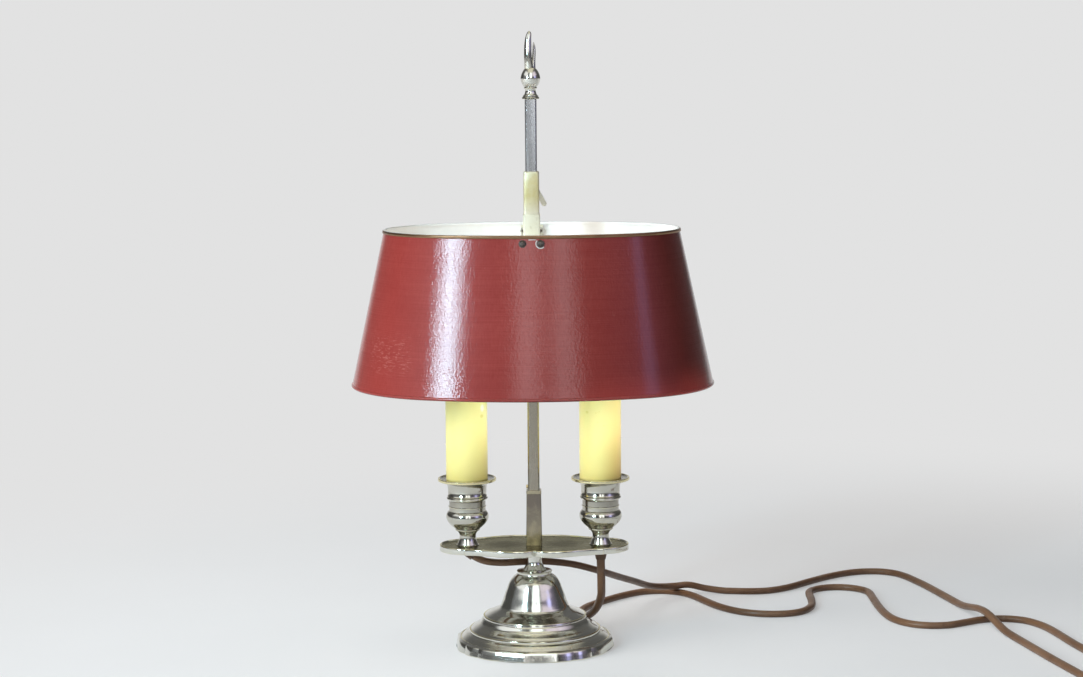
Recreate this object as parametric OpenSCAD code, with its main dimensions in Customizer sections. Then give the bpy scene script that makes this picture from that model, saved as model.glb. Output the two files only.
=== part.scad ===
// Bouillotte lamp: two candle lights on a shaped tray, under an oval metal shade
// that slides on a square rod and is held by a clamp screw with a lever.
// Millimetres, +Z up. The origin is the middle of the foot, on the table.

/* [Foot] */
// Width of the foot across its shaped rim
foot_d = 141; // [124:1:160]
// Height of the upright rim band
foot_rim_h = 8.4; // [6:0.2:12]
// Gap between the table and the metal rim, left by the felt
foot_lift = 0.6; // [0.2:0.1:1]
// Width of the lower ridge
ridge_d = 112; // [104:1:116]
// Height of the lower ridge
ridge_h = 15.5; // [13:0.5:18]
// Width of the tier that the bell stands on
tier_d = 88; // [76:1:96]
// Height of the tier
tier_h = 27.5; // [24:0.5:31]
// Width of the bell where it leaves the tier
bell_d = 58; // [50:1:66]
// Height of the top of the bell
bell_h = 66.3; // [60:0.1:72]
// Width of the bell's top disc
crown_d = 30.6; // [26:0.2:34]
// Thickness of the cast wall
foot_wall = 2.2; // [1.6:0.1:3]
// How far the rim's round lobes stand out
lobe_rise = 1.3; // [0.4:0.1:2]
// How far the rim's hollow curves cut in
lobe_dip = 1.1; // [0.4:0.1:2]
// Thickness of the felt
felt_t = 2.4; // [1.6:0.2:4]
// Width of the felt
felt_d = 126; // [100:1:128]
// Width of the iron weight
weight_d = 106; // [80:1:110]
// Height of the weight's disc
weight_h = 11; // [6:0.5:12]

/* [Stem] */
// Diameter of the tie rod
tie_d = 6; // [5:0.5:7]
// Height of the waisted neck under the tray
neck_h = 20.7; // [18:0.1:30]
// Width of the neck's waist
neck_waist_d = 13.4; // [12:0.2:15]
// Width of the neck's foot
neck_foot_d = 20.4; // [17:0.2:24]
// Width of the square rod across its flats
rod_w = 10; // [8:0.5:12]
// Chamfer on the rod's edges
rod_chamfer = 1.2; // [0.5:0.1:2]
// Length of the square rod
rod_l = 373; // [330:1:400]
// Height of the rod socket
socket_h = 48; // [40:1:60]
// Width of the socket at its foot
socket_foot_w = 13.8; // [13.4:0.1:18]
// Width of the socket under its lip
socket_top_w = 12.6; // [12.4:0.1:16]
// Thickness of the socket's solid floor
socket_floor = 12; // [8:0.5:20]
// Height of the socket's lip
socket_lip_h = 2.7; // [2:0.1:4]
// Diameter of the stop pin
pin_d = 3; // [2:0.25:4]
// How far the stop pin stands out of the rod
pin_out = 1.6; // [1:0.1:2.5]

/* [Tray] */
// Distance between the two candle cups
cup_spacing = 115.4; // [108:0.2:130]
// Radius of the round lobe under each cup
tray_lobe_r = 24.3; // [22:0.1:27]
// Half width of the tray at its fullest
tray_half_w = 37.8; // [34:0.1:42]
// Height of the tray's edge
tray_h = 5.4; // [4.4:0.1:8]
// Thickness of the tray's floor
tray_floor = 2; // [1.4:0.1:2.6]
// Height of the lip above the tray's floor
tray_lip_h = 1; // [0.6:0.1:1.6]
// Width of the lip
tray_lip_w = 1.4; // [0.8:0.1:2.4]
// Thickness of the tray's skirt
tray_skirt = 2; // [1.4:0.1:3]

/* [Candle cups] */
// Height of a cup
cup_h = 59.2; // [55:0.2:66]
// Width of the cup's flared rim
cup_rim_d = 50.7; // [46:0.1:56]
// Width of the cup's straight body
cup_body_d = 33.4; // [31:0.1:38]
// Width of the cup's bowl at its fullest
cup_bowl_d = 36.8; // [34:0.2:42]
// Width of the cup's stem
cup_stem_d = 14.2; // [13:0.2:18]
// Width of the cup's foot
cup_foot_d = 19.6; // [18:0.2:26]
// Thickness of the cup's wall
cup_wall = 2; // [1.4:0.1:2.6]
// Outer diameter of the threaded nipple
nipple_d = 10; // [8:0.5:11]
// Bore of the nipple
nipple_bore = 7.4; // [5:0.1:7.6]
// Across the flats of the nipple's lock nuts
lock_nut_af = 14; // [13:0.5:17]
// Thickness of a lock nut
lock_nut_t = 3; // [2:0.25:4]

/* [Candles and bulbs] */
// Outer diameter of the candle sleeve
candle_d = 36; // [32:0.5:40]
// Length of the candle sleeve
candle_l = 85; // [70:1:100]
// Wall of the candle sleeve
candle_wall = 1.5; // [1:0.1:2]
// Length of the lampholder
holder_l = 46; // [38:1:52]
// Outer diameter of the lampholder
holder_d = 29; // [27:0.5:30]
// Diameter of the bulb's bayonet cap
cap_d = 22; // [20:0.5:24]
// Length of the bulb's bayonet cap
cap_l = 26; // [22:0.5:30]
// Widest diameter of the bulb's glass
bulb_d = 35; // [30:1:38]
// Length of the bulb's glass
bulb_l = 74; // [60:1:80]

/* [Shade] */
// Half length of the shade's top opening
shade_half_l = 126.5; // [110:0.5:140]
// Half width of the shade's top opening
shade_half_w = 82; // [76:0.5:95]
// Radius of the shade's rounded ends at the top
shade_end_r = 72; // [60:1:75]
// How far the wall slopes out from top to bottom
shade_flare = 28.5; // [20:0.5:36]
// Height of the shade
shade_h = 131; // [110:1:150]
// Thickness of the shade's sheet
shade_wall = 0.8; // [0.6:0.1:1.2]
// Height of the shade's top edge above the table
shade_top_z = 363; // [350:1:380]
// Diameter of the wire rolled into the bottom rim
rim_wire_d = 3; // [2:0.2:4]
// Height of the brass edge strip on the top rim
top_edge_h = 2.4; // [1.6:0.2:4]
// Thickness of the brass edge strip
top_edge_t = 0.8; // [0.5:0.1:1.2]

/* [Shade carriage] */
// Width of the sleeve across its flats
sleeve_w = 13.4; // [12.8:0.1:16]
// Width of the sleeve's thicker foot
sleeve_foot_w = 14.6; // [14:0.1:17]
// Height of the sleeve's thicker foot
sleeve_foot_h = 27; // [16:1:36]
// Full height of the sleeve
sleeve_h = 63.5; // [52:0.5:75]
// Play between the rod and the sleeve on each side
slide_play = 0.07; // [0.03:0.01:0.1]
// Distance from the middle of a screw to the side of the strap
screw_margin = 2.3; // [2:0.1:4]
// Play between the strap's ends and the shade's wall
strap_gap = 0.25; // [0.2:0.05:0.6]
// Thickness of the strap
strap_t = 2; // [1.5:0.1:3]
// Height of the strap's upturned ends
strap_tab_h = 8; // [6:0.2:9]
// Distance of the strap's top from the shade's top edge
strap_drop = 10; // [9.8:0.1:14]
// Distance between the two screws at each end of the strap
screw_spacing = 15; // [10:0.2:18]
// Distance of the screws below the shade's top edge
screw_drop = 6; // [5.2:0.1:6.2]
// Diameter of the shade screws
screw_d = 3; // [2:0.25:3]
// Diameter of the shade screws' heads
screw_head_d = 6.4; // [5:0.1:6.6]

/* [Clamp] */
// Diameter of the clamp screw
clamp_d = 4; // [3:0.25:5]
// Height of the clamp screw below the sleeve's top
clamp_drop = 8.7; // [7:0.1:16]
// Diameter of the lever's hub
hub_d = 8.4; // [7:0.2:11]
// Length of the lever from the screw's centre to its tip
lever_l = 24.6; // [18:0.2:30]
// Width of the lever
lever_w = 4.4; // [3:0.2:6]
// Thickness of the lever
lever_t = 2.6; // [1.8:0.1:4]
// Angle of the lever from straight down
lever_lean = 29; // [0:1:60]

/* [Finial] */
// Height of the finial's urn
urn_h = 26.5; // [22:0.5:34]
// Widest diameter of the urn
urn_d = 16.9; // [14:0.2:22]
// Width of the urn's bottom flange
urn_flange_d = 14.8; // [13:0.2:18]
// Height of the flame above the urn
flame_h = 31; // [24:0.5:40]
// Width of the flame's main tongue
flame_w = 6.6; // [5:0.2:8]

/* [Flex] */
// Width of the flat flex
flex_w = 7.2; // [7.2:0.1:7.2]
// Thickness of the flat flex
flex_t = 6; // [6:0.1:6]
// Length of the tapered bush under each cup
bush_l = 8; // [6:0.5:12]

/* [Hidden] */
$fn = 96;

fit = 0.1;              // clearance round what is threaded, pressed or brazed in
eps = 0.02;             // how far a cutting solid runs past the face it cuts
left = -1;
right = 1;

// heights that pieces stand on
foot_r = foot_d / 2;
tray_floor_z = bell_h + neck_h;                    // underside of the tray's floor
tray_top_z = tray_floor_z + tray_floor;            // top of the tray's floor
tray_bottom_z = tray_top_z + tray_lip_h - tray_h;  // lower edge of the tray's skirt
rod_bottom_z = tray_top_z + socket_floor;
rod_top_z = rod_bottom_z + rod_l;
cup_x = cup_spacing / 2;
cup_top_z = tray_top_z + cup_h;
dish_depth = 1;
candle_z = cup_top_z - dish_depth;
candle_top_z = candle_z + candle_l;
holder_z = candle_top_z - holder_l - 2;
cup_bore_d = cup_body_d - 2 * cup_wall;
cup_floor_z = tray_top_z + 24;
nipple_bottom_z = tray_floor_z - lock_nut_t - 0.5;

//---------------------------------------------------------------- helpers

// a point on the smooth curve through b and c
function curve_point(a, b, c, d, t) =
    0.5 * (2 * b + (c - a) * t + (2 * a - 5 * b + 4 * c - d) * t * t + (3 * b - a - 3 * c + d) * t * t * t);

// a smooth curve through a list of points, with the given number of steps from each point to the next
function curve(p, steps) = concat(
    [for (i = [0:len(p) - 2], s = [0:steps - 1])
        curve_point(p[max(i - 1, 0)], p[i], p[i + 1], p[min(i + 2, len(p) - 1)], s / steps)],
    [p[len(p) - 1]]);

function mirrored_x(p) = [for (i = [len(p) - 1:-1:0]) [-p[i][0], p[i][1]]];
function mirrored_y(p) = [for (i = [len(p) - 1:-1:0]) [p[i][0], -p[i][1]]];
function unit(v) = v / norm(v);

// a square with rounded corners
function rounded_square(w, r, steps) = [for (k = [0:3], s = [0:steps])
    let (a = 90 * k + 90 * s / steps, c = w / 2 - r)
    [(k == 0 || k == 3 ? c : -c) + r * cos(a), (k < 2 ? c : -c) + r * sin(a)]];

// a closed solid through a stack of rings, each a list of points in space
module skin(rings) {
    n = len(rings[0]);
    m = len(rings);
    polyhedron(
        points = [for (ring = rings) each ring],
        faces = concat(
            [[for (i = [0:n - 1]) i]],
            [for (k = [0:m - 2], i = [0:n - 1]) [k * n + i, (k + 1) * n + i, (k + 1) * n + (i + 1) % n]],
            [for (k = [0:m - 2], i = [0:n - 1]) [k * n + i, (k + 1) * n + (i + 1) % n, k * n + (i + 1) % n]],
            [[for (i = [n - 1:-1:0]) (m - 1) * n + i]]),
        convexity = 4);
}

function at_z(outline, z) = [for (p = outline) [p[0], p[1], z]];

module hexagon_nut(af, t, hole_d) {
    difference() {
        cylinder(d = af / cos(30), h = t, $fn = 6);
        translate([0, 0, -eps]) cylinder(d = hole_d + 2 * fit, h = t + 2 * eps);
    }
}

// the same solid at both cups
module at_cup(side) translate([side * cup_x, 0, 0]) children();

//---------------------------------------------------------------- foot

// the rim's shape: in each quarter a hollow curve from a point, then three lobes, then a hollow curve
rim_marks = [0, 22, 37, 53, 68, 90];
rim_bulge = [-lobe_dip, lobe_rise / 2, lobe_rise, lobe_rise / 2, -lobe_dip];
rim_turn = -8;
function rim_radius(a, inset) = let (
        q = a % 90,
        k = len([for (m = rim_marks) if (m <= q) m]) - 1,
        u = (q - rim_marks[k]) / (rim_marks[k + 1] - rim_marks[k]))
    foot_r - lobe_rise - inset + rim_bulge[k] * 4 * u * (1 - u);
function rim_outline(inset) = [for (a = [0:2.5:357.5])
    let (r = rim_radius(a, inset))
    [r * cos(a), r * sin(a)]];

bell_r = bell_d / 2;
crown_r = crown_d / 2;
cove_z = foot_rim_h + 0.6;
rim_top_r = foot_r - 5.6;

// a curve from a to b through points at the given shares of the way along and up
function run(a, b, shares) =
    curve([for (s = shares) [a[0] + (b[0] - a[0]) * s[0], a[1] + (b[1] - a[1]) * s[1]]], 4);

foot_profile = concat(
    [[foot_r - lobe_rise - lobe_dip - 0.8, foot_rim_h - 0.2], [rim_top_r, cove_z]],
    run([rim_top_r - 0.7, cove_z + 0.3], [ridge_d / 2 + 0.4, ridge_h],
        [[0, 0], [0.44, 0.44], [0.85, 0.74], [1, 1]]),
    run([ridge_d / 2 - 0.6, ridge_h + 0.5], [tier_d / 2, tier_h],
        [[0, 0], [0.43, 0.26], [0.86, 0.74], [1, 1]]),
    run([tier_d / 2 - 0.8, tier_h + 0.5], [bell_r, tier_h + 9.5],
        [[0, 0], [0.4, 0.29], [0.82, 0.6], [1, 1]]),
    run([bell_r, tier_h + 9.5], [crown_r, bell_h - 3.2],
        [[0.095, 0.138], [0.2, 0.31], [0.34, 0.5], [0.475, 0.68], [0.61, 0.81], [0.76, 0.905], [0.92, 0.97]]),
    [[crown_r - 0.3, bell_h - 3], [crown_r - 0.3, bell_h - 1.1], [crown_r, bell_h - 0.8],
        [crown_r, bell_h - 0.3], [crown_r - 0.3, bell_h]]);

module base_shell() {
    color("silver") difference() {
        union() {
            rotate([0, 0, rim_turn]) translate([0, 0, foot_lift])
                linear_extrude(foot_rim_h - foot_lift) polygon(rim_outline(0));
            rotate_extrude()
                polygon(concat([[0, foot_lift]], [[foot_r - 5, foot_lift]], foot_profile, [[0, bell_h]]));
        }
        translate([0, 0, -foot_wall]) rotate_extrude() polygon(concat(
            [[0, 0]], [[foot_profile[0][0] - foot_wall, 0]],
            [for (p = foot_profile) [p[0] - foot_wall, p[1]]], [[0, bell_h]]));
        cylinder(d = tie_d + 2 * fit, h = bell_h + 1);
    }
}

weight_recess_d = 26;
weight_recess_h = 6.6;
crown_inside_z = bell_h - foot_wall;
module base_weight() {
    color("dimgray") rotate_extrude() polygon([
        [tie_d / 2 + fit, felt_t + weight_recess_h], [weight_recess_d / 2, felt_t + weight_recess_h],
        [weight_recess_d / 2, felt_t], [weight_d / 2 - 1, felt_t], [weight_d / 2, felt_t + 1],
        [weight_d / 2, felt_t + weight_h - 2], [weight_d / 2 - 2, felt_t + weight_h],
        [bell_r, felt_t + weight_h + 2], [bell_r - 12, felt_t + weight_h + 12],
        [crown_r - 6, crown_inside_z - 6], [crown_r - 7, crown_inside_z], [tie_d / 2 + fit, crown_inside_z]]);
}

module base_felt() {
    color("darkgreen") cylinder(d = felt_d, h = felt_t);
}

washer_t = 1.4;
base_nut_t = 4.6;
module base_washer() {
    color("goldenrod") translate([0, 0, felt_t + weight_recess_h - washer_t]) difference() {
        cylinder(d = weight_recess_d - 4, h = washer_t);
        translate([0, 0, -eps]) cylinder(d = tie_d + 2 * fit, h = washer_t + 2 * eps);
    }
}

module base_nut() {
    color("goldenrod") translate([0, 0, felt_t + weight_recess_h - washer_t - base_nut_t])
        hexagon_nut(tie_d * 5 / 3, base_nut_t, tie_d);
}

tie_grip = 14;
module tie_rod() {
    color("darkgoldenrod") translate([0, 0, felt_t + 0.3])
        cylinder(d = tie_d, h = rod_bottom_z + tie_grip - felt_t - 0.3);
}

//---------------------------------------------------------------- stem

module stem_neck() {
    color("silver") translate([0, 0, bell_h]) rotate_extrude() polygon(concat(
        [[tie_d / 2 + fit, 0], [neck_foot_d / 2, 0], [neck_foot_d / 2, 0.9]],
        curve([[neck_foot_d / 2 - 0.8, 1.5], [neck_waist_d / 2 + 1.3, 4], [neck_waist_d / 2, 9],
            [neck_waist_d / 2 + 0.2, neck_h - 7], [neck_waist_d / 2 + 0.8, neck_h - 1]], 5),
        [[neck_waist_d / 2 + 0.8, neck_h], [tie_d / 2 + fit, neck_h]]));
}

module rod_socket() {
    lip_w = socket_top_w + 0.4;
    color("silver") translate([0, 0, tray_top_z]) difference() {
        union() {
            skin([at_z(rounded_square(socket_foot_w, 0.5, 1), 0),
                at_z(rounded_square(socket_top_w, 0.5, 1), socket_h - socket_lip_h)]);
            translate([0, 0, socket_h - socket_lip_h])
                linear_extrude(socket_lip_h) polygon(rounded_square(lip_w, 0.5, 1));
        }
        translate([0, 0, socket_floor]) linear_extrude(socket_h)
            polygon(rounded_square(rod_w + 2 * fit, rod_chamfer, 1));
        translate([0, 0, -eps]) cylinder(d = tie_d + 2 * fit, h = socket_floor + 1);
    }
}

finial_stud_d = 5;
finial_stud_l = 10;
module lamp_rod() {
    color("silver") translate([0, 0, rod_bottom_z]) difference() {
        linear_extrude(rod_l) polygon(rounded_square(rod_w, rod_chamfer, 1));
        translate([0, 0, -eps]) cylinder(d = tie_d + 2 * fit, h = tie_grip + 1);
        translate([0, 0, rod_l - finial_stud_l - 1])
            cylinder(d = finial_stud_d + 2 * fit, h = finial_stud_l + 2);
        stop_pin_place() cylinder(d = pin_d + 2 * fit, h = rod_w);
    }
}

// the stop pin lies across the rod's left side, just above the socket
module stop_pin_place() {
    translate([-rod_w / 2 - pin_out, 0, tray_top_z - rod_bottom_z + socket_h + pin_d / 2 + 1.4])
        rotate([0, 90, 0]) children();
}

pin_l = 5.6;
module stop_pin() {
    color("darkgoldenrod") translate([0, 0, rod_bottom_z]) stop_pin_place() cylinder(d = pin_d, h = pin_l);
}

//---------------------------------------------------------------- tray

// one quarter of the tray's edge, from the corner by the lobe to the notch in the middle
function tray_quarter(inset) = curve([
    [1.04 * cup_x - inset, tray_lobe_r + 1.7 - inset], [0.867 * cup_x - inset, tray_half_w - 10.2 - inset],
    [0.693 * cup_x, tray_half_w - 6.6 - inset], [0.52 * cup_x, tray_half_w - 2.2 - inset],
    [0.347 * cup_x, tray_half_w - 0.2 - inset], [0.19 * cup_x, tray_half_w - inset],
    [0.078 * cup_x, tray_half_w - 1.6 - inset], [0, tray_half_w - 5 - inset]], 4);
function tray_half(inset) = concat(tray_quarter(inset), mirrored_x(tray_quarter(inset)));
module tray_outline(inset) {
    polygon(concat(tray_half(inset), mirrored_y(tray_half(inset))));
    for (side = [left, right]) at_cup(side) circle(r = tray_lobe_r - inset);
}

module tray() {
    color("darkkhaki") translate([0, 0, tray_bottom_z]) difference() {
        linear_extrude(tray_h) tray_outline(0);
        translate([0, 0, tray_h - tray_lip_h]) linear_extrude(tray_h) tray_outline(tray_lip_w);
        translate([0, 0, -tray_floor - tray_lip_h]) linear_extrude(tray_h) tray_outline(tray_skirt);
        translate([0, 0, -eps]) cylinder(d = tie_d + 2 * fit, h = 2 * tray_h);
        for (side = [left, right]) at_cup(side) translate([0, 0, -eps])
            cylinder(d = nipple_d + 2 * fit, h = 2 * tray_h);
    }
}

//---------------------------------------------------------------- cups, candles and bulbs

module cup() {
    foot_r = cup_foot_d / 2;
    stem_r = cup_stem_d / 2;
    bowl_r = cup_bowl_d / 2;
    body_r = cup_body_d / 2;
    rim_r = cup_rim_d / 2;
    bowl_z = 25.5;
    color("silver") translate([0, 0, tray_top_z]) difference() {
        rotate_extrude() polygon(concat(
            [[0, 0], [foot_r, 0], [foot_r, 0.5]],
            curve([[foot_r - 0.9, 0.8], [stem_r + 1.1, 3.2], [stem_r, 8.5], [stem_r + 1.6, 11.6],
                [stem_r + 2.6, 13.2]], 4),
            [[stem_r + 3.6, 13.4], [stem_r + 3.6, 14.6], [stem_r + 3.1, 14.8]],
            curve([[stem_r + 4.2, 15], [bowl_r - 4.4, 18], [bowl_r - 0.9, 21.6], [bowl_r, bowl_z],
                [body_r + 0.8, bowl_z + 3.6], [body_r - 0.4, bowl_z + 4.8]], 4),
            [[body_r - 0.9, bowl_z + 5], [body_r - 0.9, bowl_z + 8.4], [body_r - 0.5, bowl_z + 8.6],
                [body_r - 0.5, bowl_z + 9.4], [body_r - 0.9, bowl_z + 9.6], [body_r - 0.9, bowl_z + 14]],
            curve([[body_r, bowl_z + 14.6], [body_r + 1.1, bowl_z + 15.8], [body_r, bowl_z + 17]], 3),
            [[body_r + 0.5, bowl_z + 17.3], [body_r + 0.5, bowl_z + 18.1], [body_r, bowl_z + 18.4]],
            curve([[body_r, cup_h - 9], [body_r + 0.6, cup_h - 6], [body_r + 3.6, cup_h - 3.6],
                [rim_r, cup_h - 1.9]], 4),
            [[rim_r, cup_h - 0.3], [rim_r - 0.4, cup_h], [rim_r - 1.2, cup_h],
                [rim_r - 1.8, cup_h - dish_depth], [0, cup_h - dish_depth]]));
        translate([0, 0, cup_floor_z - tray_top_z]) cylinder(d = cup_bore_d, h = cup_h);
        translate([0, 0, -eps]) cylinder(d = nipple_d + 2 * fit, h = cup_h);
    }
}

module nipple() {
    color("goldenrod") translate([0, 0, nipple_bottom_z]) difference() {
        cylinder(d = nipple_d, h = holder_z + 9 - nipple_bottom_z);
        translate([0, 0, -eps]) cylinder(d = nipple_bore, h = holder_z + 10 - nipple_bottom_z);
    }
}

module lock_nut(z) {
    color("goldenrod") translate([0, 0, z]) hexagon_nut(lock_nut_af, lock_nut_t, nipple_d);
}

module tray_lock_nuts() {
    for (side = [left, right]) at_cup(side) lock_nut(tray_floor_z - lock_nut_t);
}

module cup_lock_nuts() {
    for (side = [left, right]) at_cup(side) lock_nut(cup_floor_z);
}

holder_floor = 10;
block_h = 6;
module lampholder() {
    color("goldenrod") translate([0, 0, holder_z]) difference() {
        union() {
            cylinder(d1 = holder_d - 8, d2 = holder_d - 1.4, h = 6);
            translate([0, 0, 6]) cylinder(d = holder_d - 1.4, h = holder_l - 6);
            translate([0, 0, holder_l - 8]) cylinder(d = holder_d, h = 5);
        }
        translate([0, 0, holder_floor]) cylinder(d = cap_d + 1, h = holder_l);
        translate([0, 0, -eps]) cylinder(d = nipple_d + 2 * fit, h = holder_l);
    }
}

// the insulating block with its two contact plungers, in the floor of the lampholder
module terminal_block() {
    color("ivory") translate([0, 0, holder_z + holder_floor]) {
        cylinder(d = cap_d - 1, h = block_h);
        for (side = [left, right]) translate([side * 3.6, 0, block_h]) cylinder(d = 3, h = 3);
    }
}

cap_z = holder_z + holder_floor + block_h + 3.2;
module candle_sleeve() {
    color("khaki") translate([0, 0, candle_z]) difference() {
        cylinder(d = candle_d, h = candle_l);
        translate([0, 0, -eps]) cylinder(d = candle_d - 2 * candle_wall, h = candle_l + 2 * eps);
    }
}

module bulb_cap() {
    color("goldenrod") translate([0, 0, cap_z]) {
        cylinder(d1 = cap_d - 4, d2 = cap_d, h = 2);
        translate([0, 0, 2]) cylinder(d = cap_d, h = cap_l - 2);
    }
}

module bulb_glass() {
    r = bulb_d / 2;
    color("whitesmoke") translate([0, 0, cap_z + cap_l]) rotate_extrude() polygon(concat(
        [[0, 0]],
        curve([[cap_d / 2 - 0.6, 0], [cap_d / 2 + 1, 4], [r - 1.2, bulb_l * 0.2], [r, bulb_l * 0.36],
            [r - 3.4, bulb_l * 0.56], [r - 9.4, bulb_l * 0.76], [r - 13.6, bulb_l * 0.9],
            [1.6, bulb_l * 0.985], [0, bulb_l]], 4)));
}

//---------------------------------------------------------------- finial

module finial_urn() {
    neck_r = 4.5;
    color("silver") translate([0, 0, rod_top_z]) rotate_extrude() polygon(concat(
        [[0, -finial_stud_l], [finial_stud_d / 2, -finial_stud_l], [finial_stud_d / 2, 0],
            [urn_flange_d / 2, 0], [urn_flange_d / 2, 1.6], [urn_flange_d / 2 - 0.9, 2],
            [urn_flange_d / 2 - 0.9, 2.9]],
        curve([[urn_flange_d / 2 - 1.8, 3.3], [neck_r + 0.5, 4.8], [neck_r, 6.9], [neck_r + 0.5, 8.6]], 4),
        [[neck_r + 1.2, 8.8], [neck_r + 1.2, 10], [neck_r + 0.6, 10.2]],
        curve([[neck_r + 1.3, 10.6], [urn_d / 2 - 0.7, 14], [urn_d / 2, 17.2], [urn_d / 2 - 0.9, 21],
            [urn_d / 2 - 3, 24.4], [4.4, urn_h]], 4),
        [[0, urn_h]]));
}

// one slice of a tongue of the flame, s = [x, y, z, half width, half depth]
function tongue_slice(s) = [for (a = [0:24:336]) [s[0] + s[3] * cos(a), s[1] + s[4] * sin(a), s[2]]];
module tongue(slices) skin([for (s = curve(slices, 3)) tongue_slice(s)]);

module finial_flame() {
    w = flame_w / 2;
    top = flame_h;
    color("silver") translate([0, 0, rod_top_z + urn_h]) {
        tongue([[-1.2, -0.4, 0, w + 0.6, 4.2], [-2.2, -1.6, top * 0.2, w - 0.2, 4],
            [-2.3, -2, top * 0.42, w - 0.1, 3.6], [-1.7, -1.4, top * 0.7, w, 3.2],
            [-1.1, -0.6, top * 0.88, w * 0.72, 2.5], [-0.7, 0, top, w * 0.16, 0.5]]);
        tongue([[2.2, 1.6, 0.02, 2.4, 3], [3.1, 2.6, top * 0.2, 1.9, 3], [3.4, 3, top * 0.42, 1.7, 2.6],
            [3.2, 2.8, top * 0.58, 1.2, 1.9], [2.8, 2.4, top * 0.7, 0.3, 0.5]]);
    }
}

//---------------------------------------------------------------- shade

// the shade's plan is an oval of four arcs: two round ends, and two flat arcs between them
end_x = shade_half_l - shade_end_r;
side_r = (pow(end_x, 2) + pow(shade_half_w, 2) - pow(shade_end_r, 2)) / (2 * (shade_half_w - shade_end_r));
side_y = side_r - shade_half_w;
join_angle = atan2(side_y, end_x);
slope = atan2(shade_flare, shade_h);

// the stations round the oval, each with its arc's centre and radius and its own angle
end_steps = 24;
side_steps = 10;
stations = [for (turn = [1, -1]) each concat(
    [for (i = [0:end_steps - 1]) [turn * end_x, 0, shade_end_r,
        (1 - turn) * 90 - join_angle + 2 * join_angle * i / end_steps]],
    [for (i = [0:side_steps - 1]) [0, -turn * side_y, side_r,
        (1 - turn) * 90 + join_angle + (180 - 2 * join_angle) * i / side_steps]])];

// sweeps a profile round the oval; its points are distances outside and above the shade's top edge
module round_the_oval(profile) {
    n = len(stations);
    m = len(profile);
    polyhedron(
        points = [for (p = profile, s = stations)
            [s[0] + (s[2] + p[0]) * cos(s[3]), s[1] + (s[2] + p[0]) * sin(s[3]), shade_top_z + p[1]]],
        faces = concat(
            [for (k = [0:m - 1], i = [0:n - 1])
                [k * n + i, k * n + (i + 1) % n, (k + 1) % m * n + (i + 1) % n]],
            [for (k = [0:m - 1], i = [0:n - 1])
                [k * n + i, (k + 1) % m * n + (i + 1) % n, (k + 1) % m * n + i]]),
        convexity = 6);
}

// a place on the shade's front or back wall, at the given distances below the top edge and from the middle,
// with +Z pointing out of the wall
module on_wall(side, x, drop) {
    at = sqrt(pow(side_r, 2) - x * x) - side_y + drop * tan(slope);
    translate([x, side * at, shade_top_z - drop]) rotate([-side * (90 - slope), 0, 0]) children();
}

module at_screws() {
    for (side = [-1, 1], x = [-screw_spacing / 2, screw_spacing / 2]) on_wall(side, x, screw_drop) children();
}

module shade_shell() {
    color("brown") difference() {
        round_the_oval([[0, 0], [-shade_wall, 0], [shade_flare - shade_wall, -shade_h],
            [shade_flare, -shade_h]]);
        at_screws() translate([0, 0, -3]) cylinder(d = screw_d + 2 * fit, h = 6);
    }
}

module shade_top_edge() {
    in = shade_wall + fit;
    out = top_edge_h * tan(slope) + fit;
    color("peru") round_the_oval([
        [-in - top_edge_t, top_edge_t], [out - 0.2, top_edge_t], [out + top_edge_t, -top_edge_h],
        [out, -top_edge_h], [fit, fit], [-in, fit], [-in, -top_edge_h * 0.6],
        [-in - top_edge_t, -top_edge_h * 0.6]]);
}

module shade_bottom_rim() {
    r = rim_wire_d / 2;
    open_a = asin((shade_wall / 2 + 0.2) / r);
    color("brown") round_the_oval([for (i = [0:7]) let (a = 90 + open_a + (360 - 2 * open_a) * i / 7)
        [shade_flare - shade_wall / 2 + r * cos(a), -shade_h - r * cos(open_a) + r * sin(a)]]);
}

//---------------------------------------------------------------- carriage

strap_w = screw_spacing + 2 * screw_margin;
strap_top_z = shade_top_z - strap_drop;
sleeve_z = strap_top_z - strap_t - 2;
sleeve_top_z = sleeve_z + sleeve_h;
clamp_z = sleeve_top_z - clamp_drop;
bore_w = rod_w + 2 * slide_play;
boss_out = 2.4;

module shade_sleeve() {
    boss_y = sleeve_w / 2 + boss_out;
    color("tan") difference() {
        union() {
            translate([0, 0, sleeve_z + sleeve_foot_h - 1])
                linear_extrude(sleeve_h - sleeve_foot_h) polygon(rounded_square(sleeve_w, 1.6, 3));
            translate([0, 0, sleeve_top_z - 1])
                skin([at_z(rounded_square(sleeve_w, 1.6, 3), 0),
                    at_z(rounded_square(sleeve_w - 1.2, 1.4, 3), 1)]);
            translate([0, 0, sleeve_z]) linear_extrude(sleeve_foot_h)
                polygon(rounded_square(sleeve_foot_w, 1.2, 3));
            translate([0, 0, clamp_z]) rotate([-90, 0, 0]) cylinder(d = hub_d + 0.8, h = boss_y);
        }
        translate([0, 0, sleeve_z - eps]) linear_extrude(sleeve_h + 1)
            polygon(rounded_square(bore_w, rod_chamfer - 0.2, 1));
        translate([0, 0, clamp_z]) rotate([-90, 0, 0]) cylinder(d = clamp_d + 0.1, h = boss_y + 1);
    }
}

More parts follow.
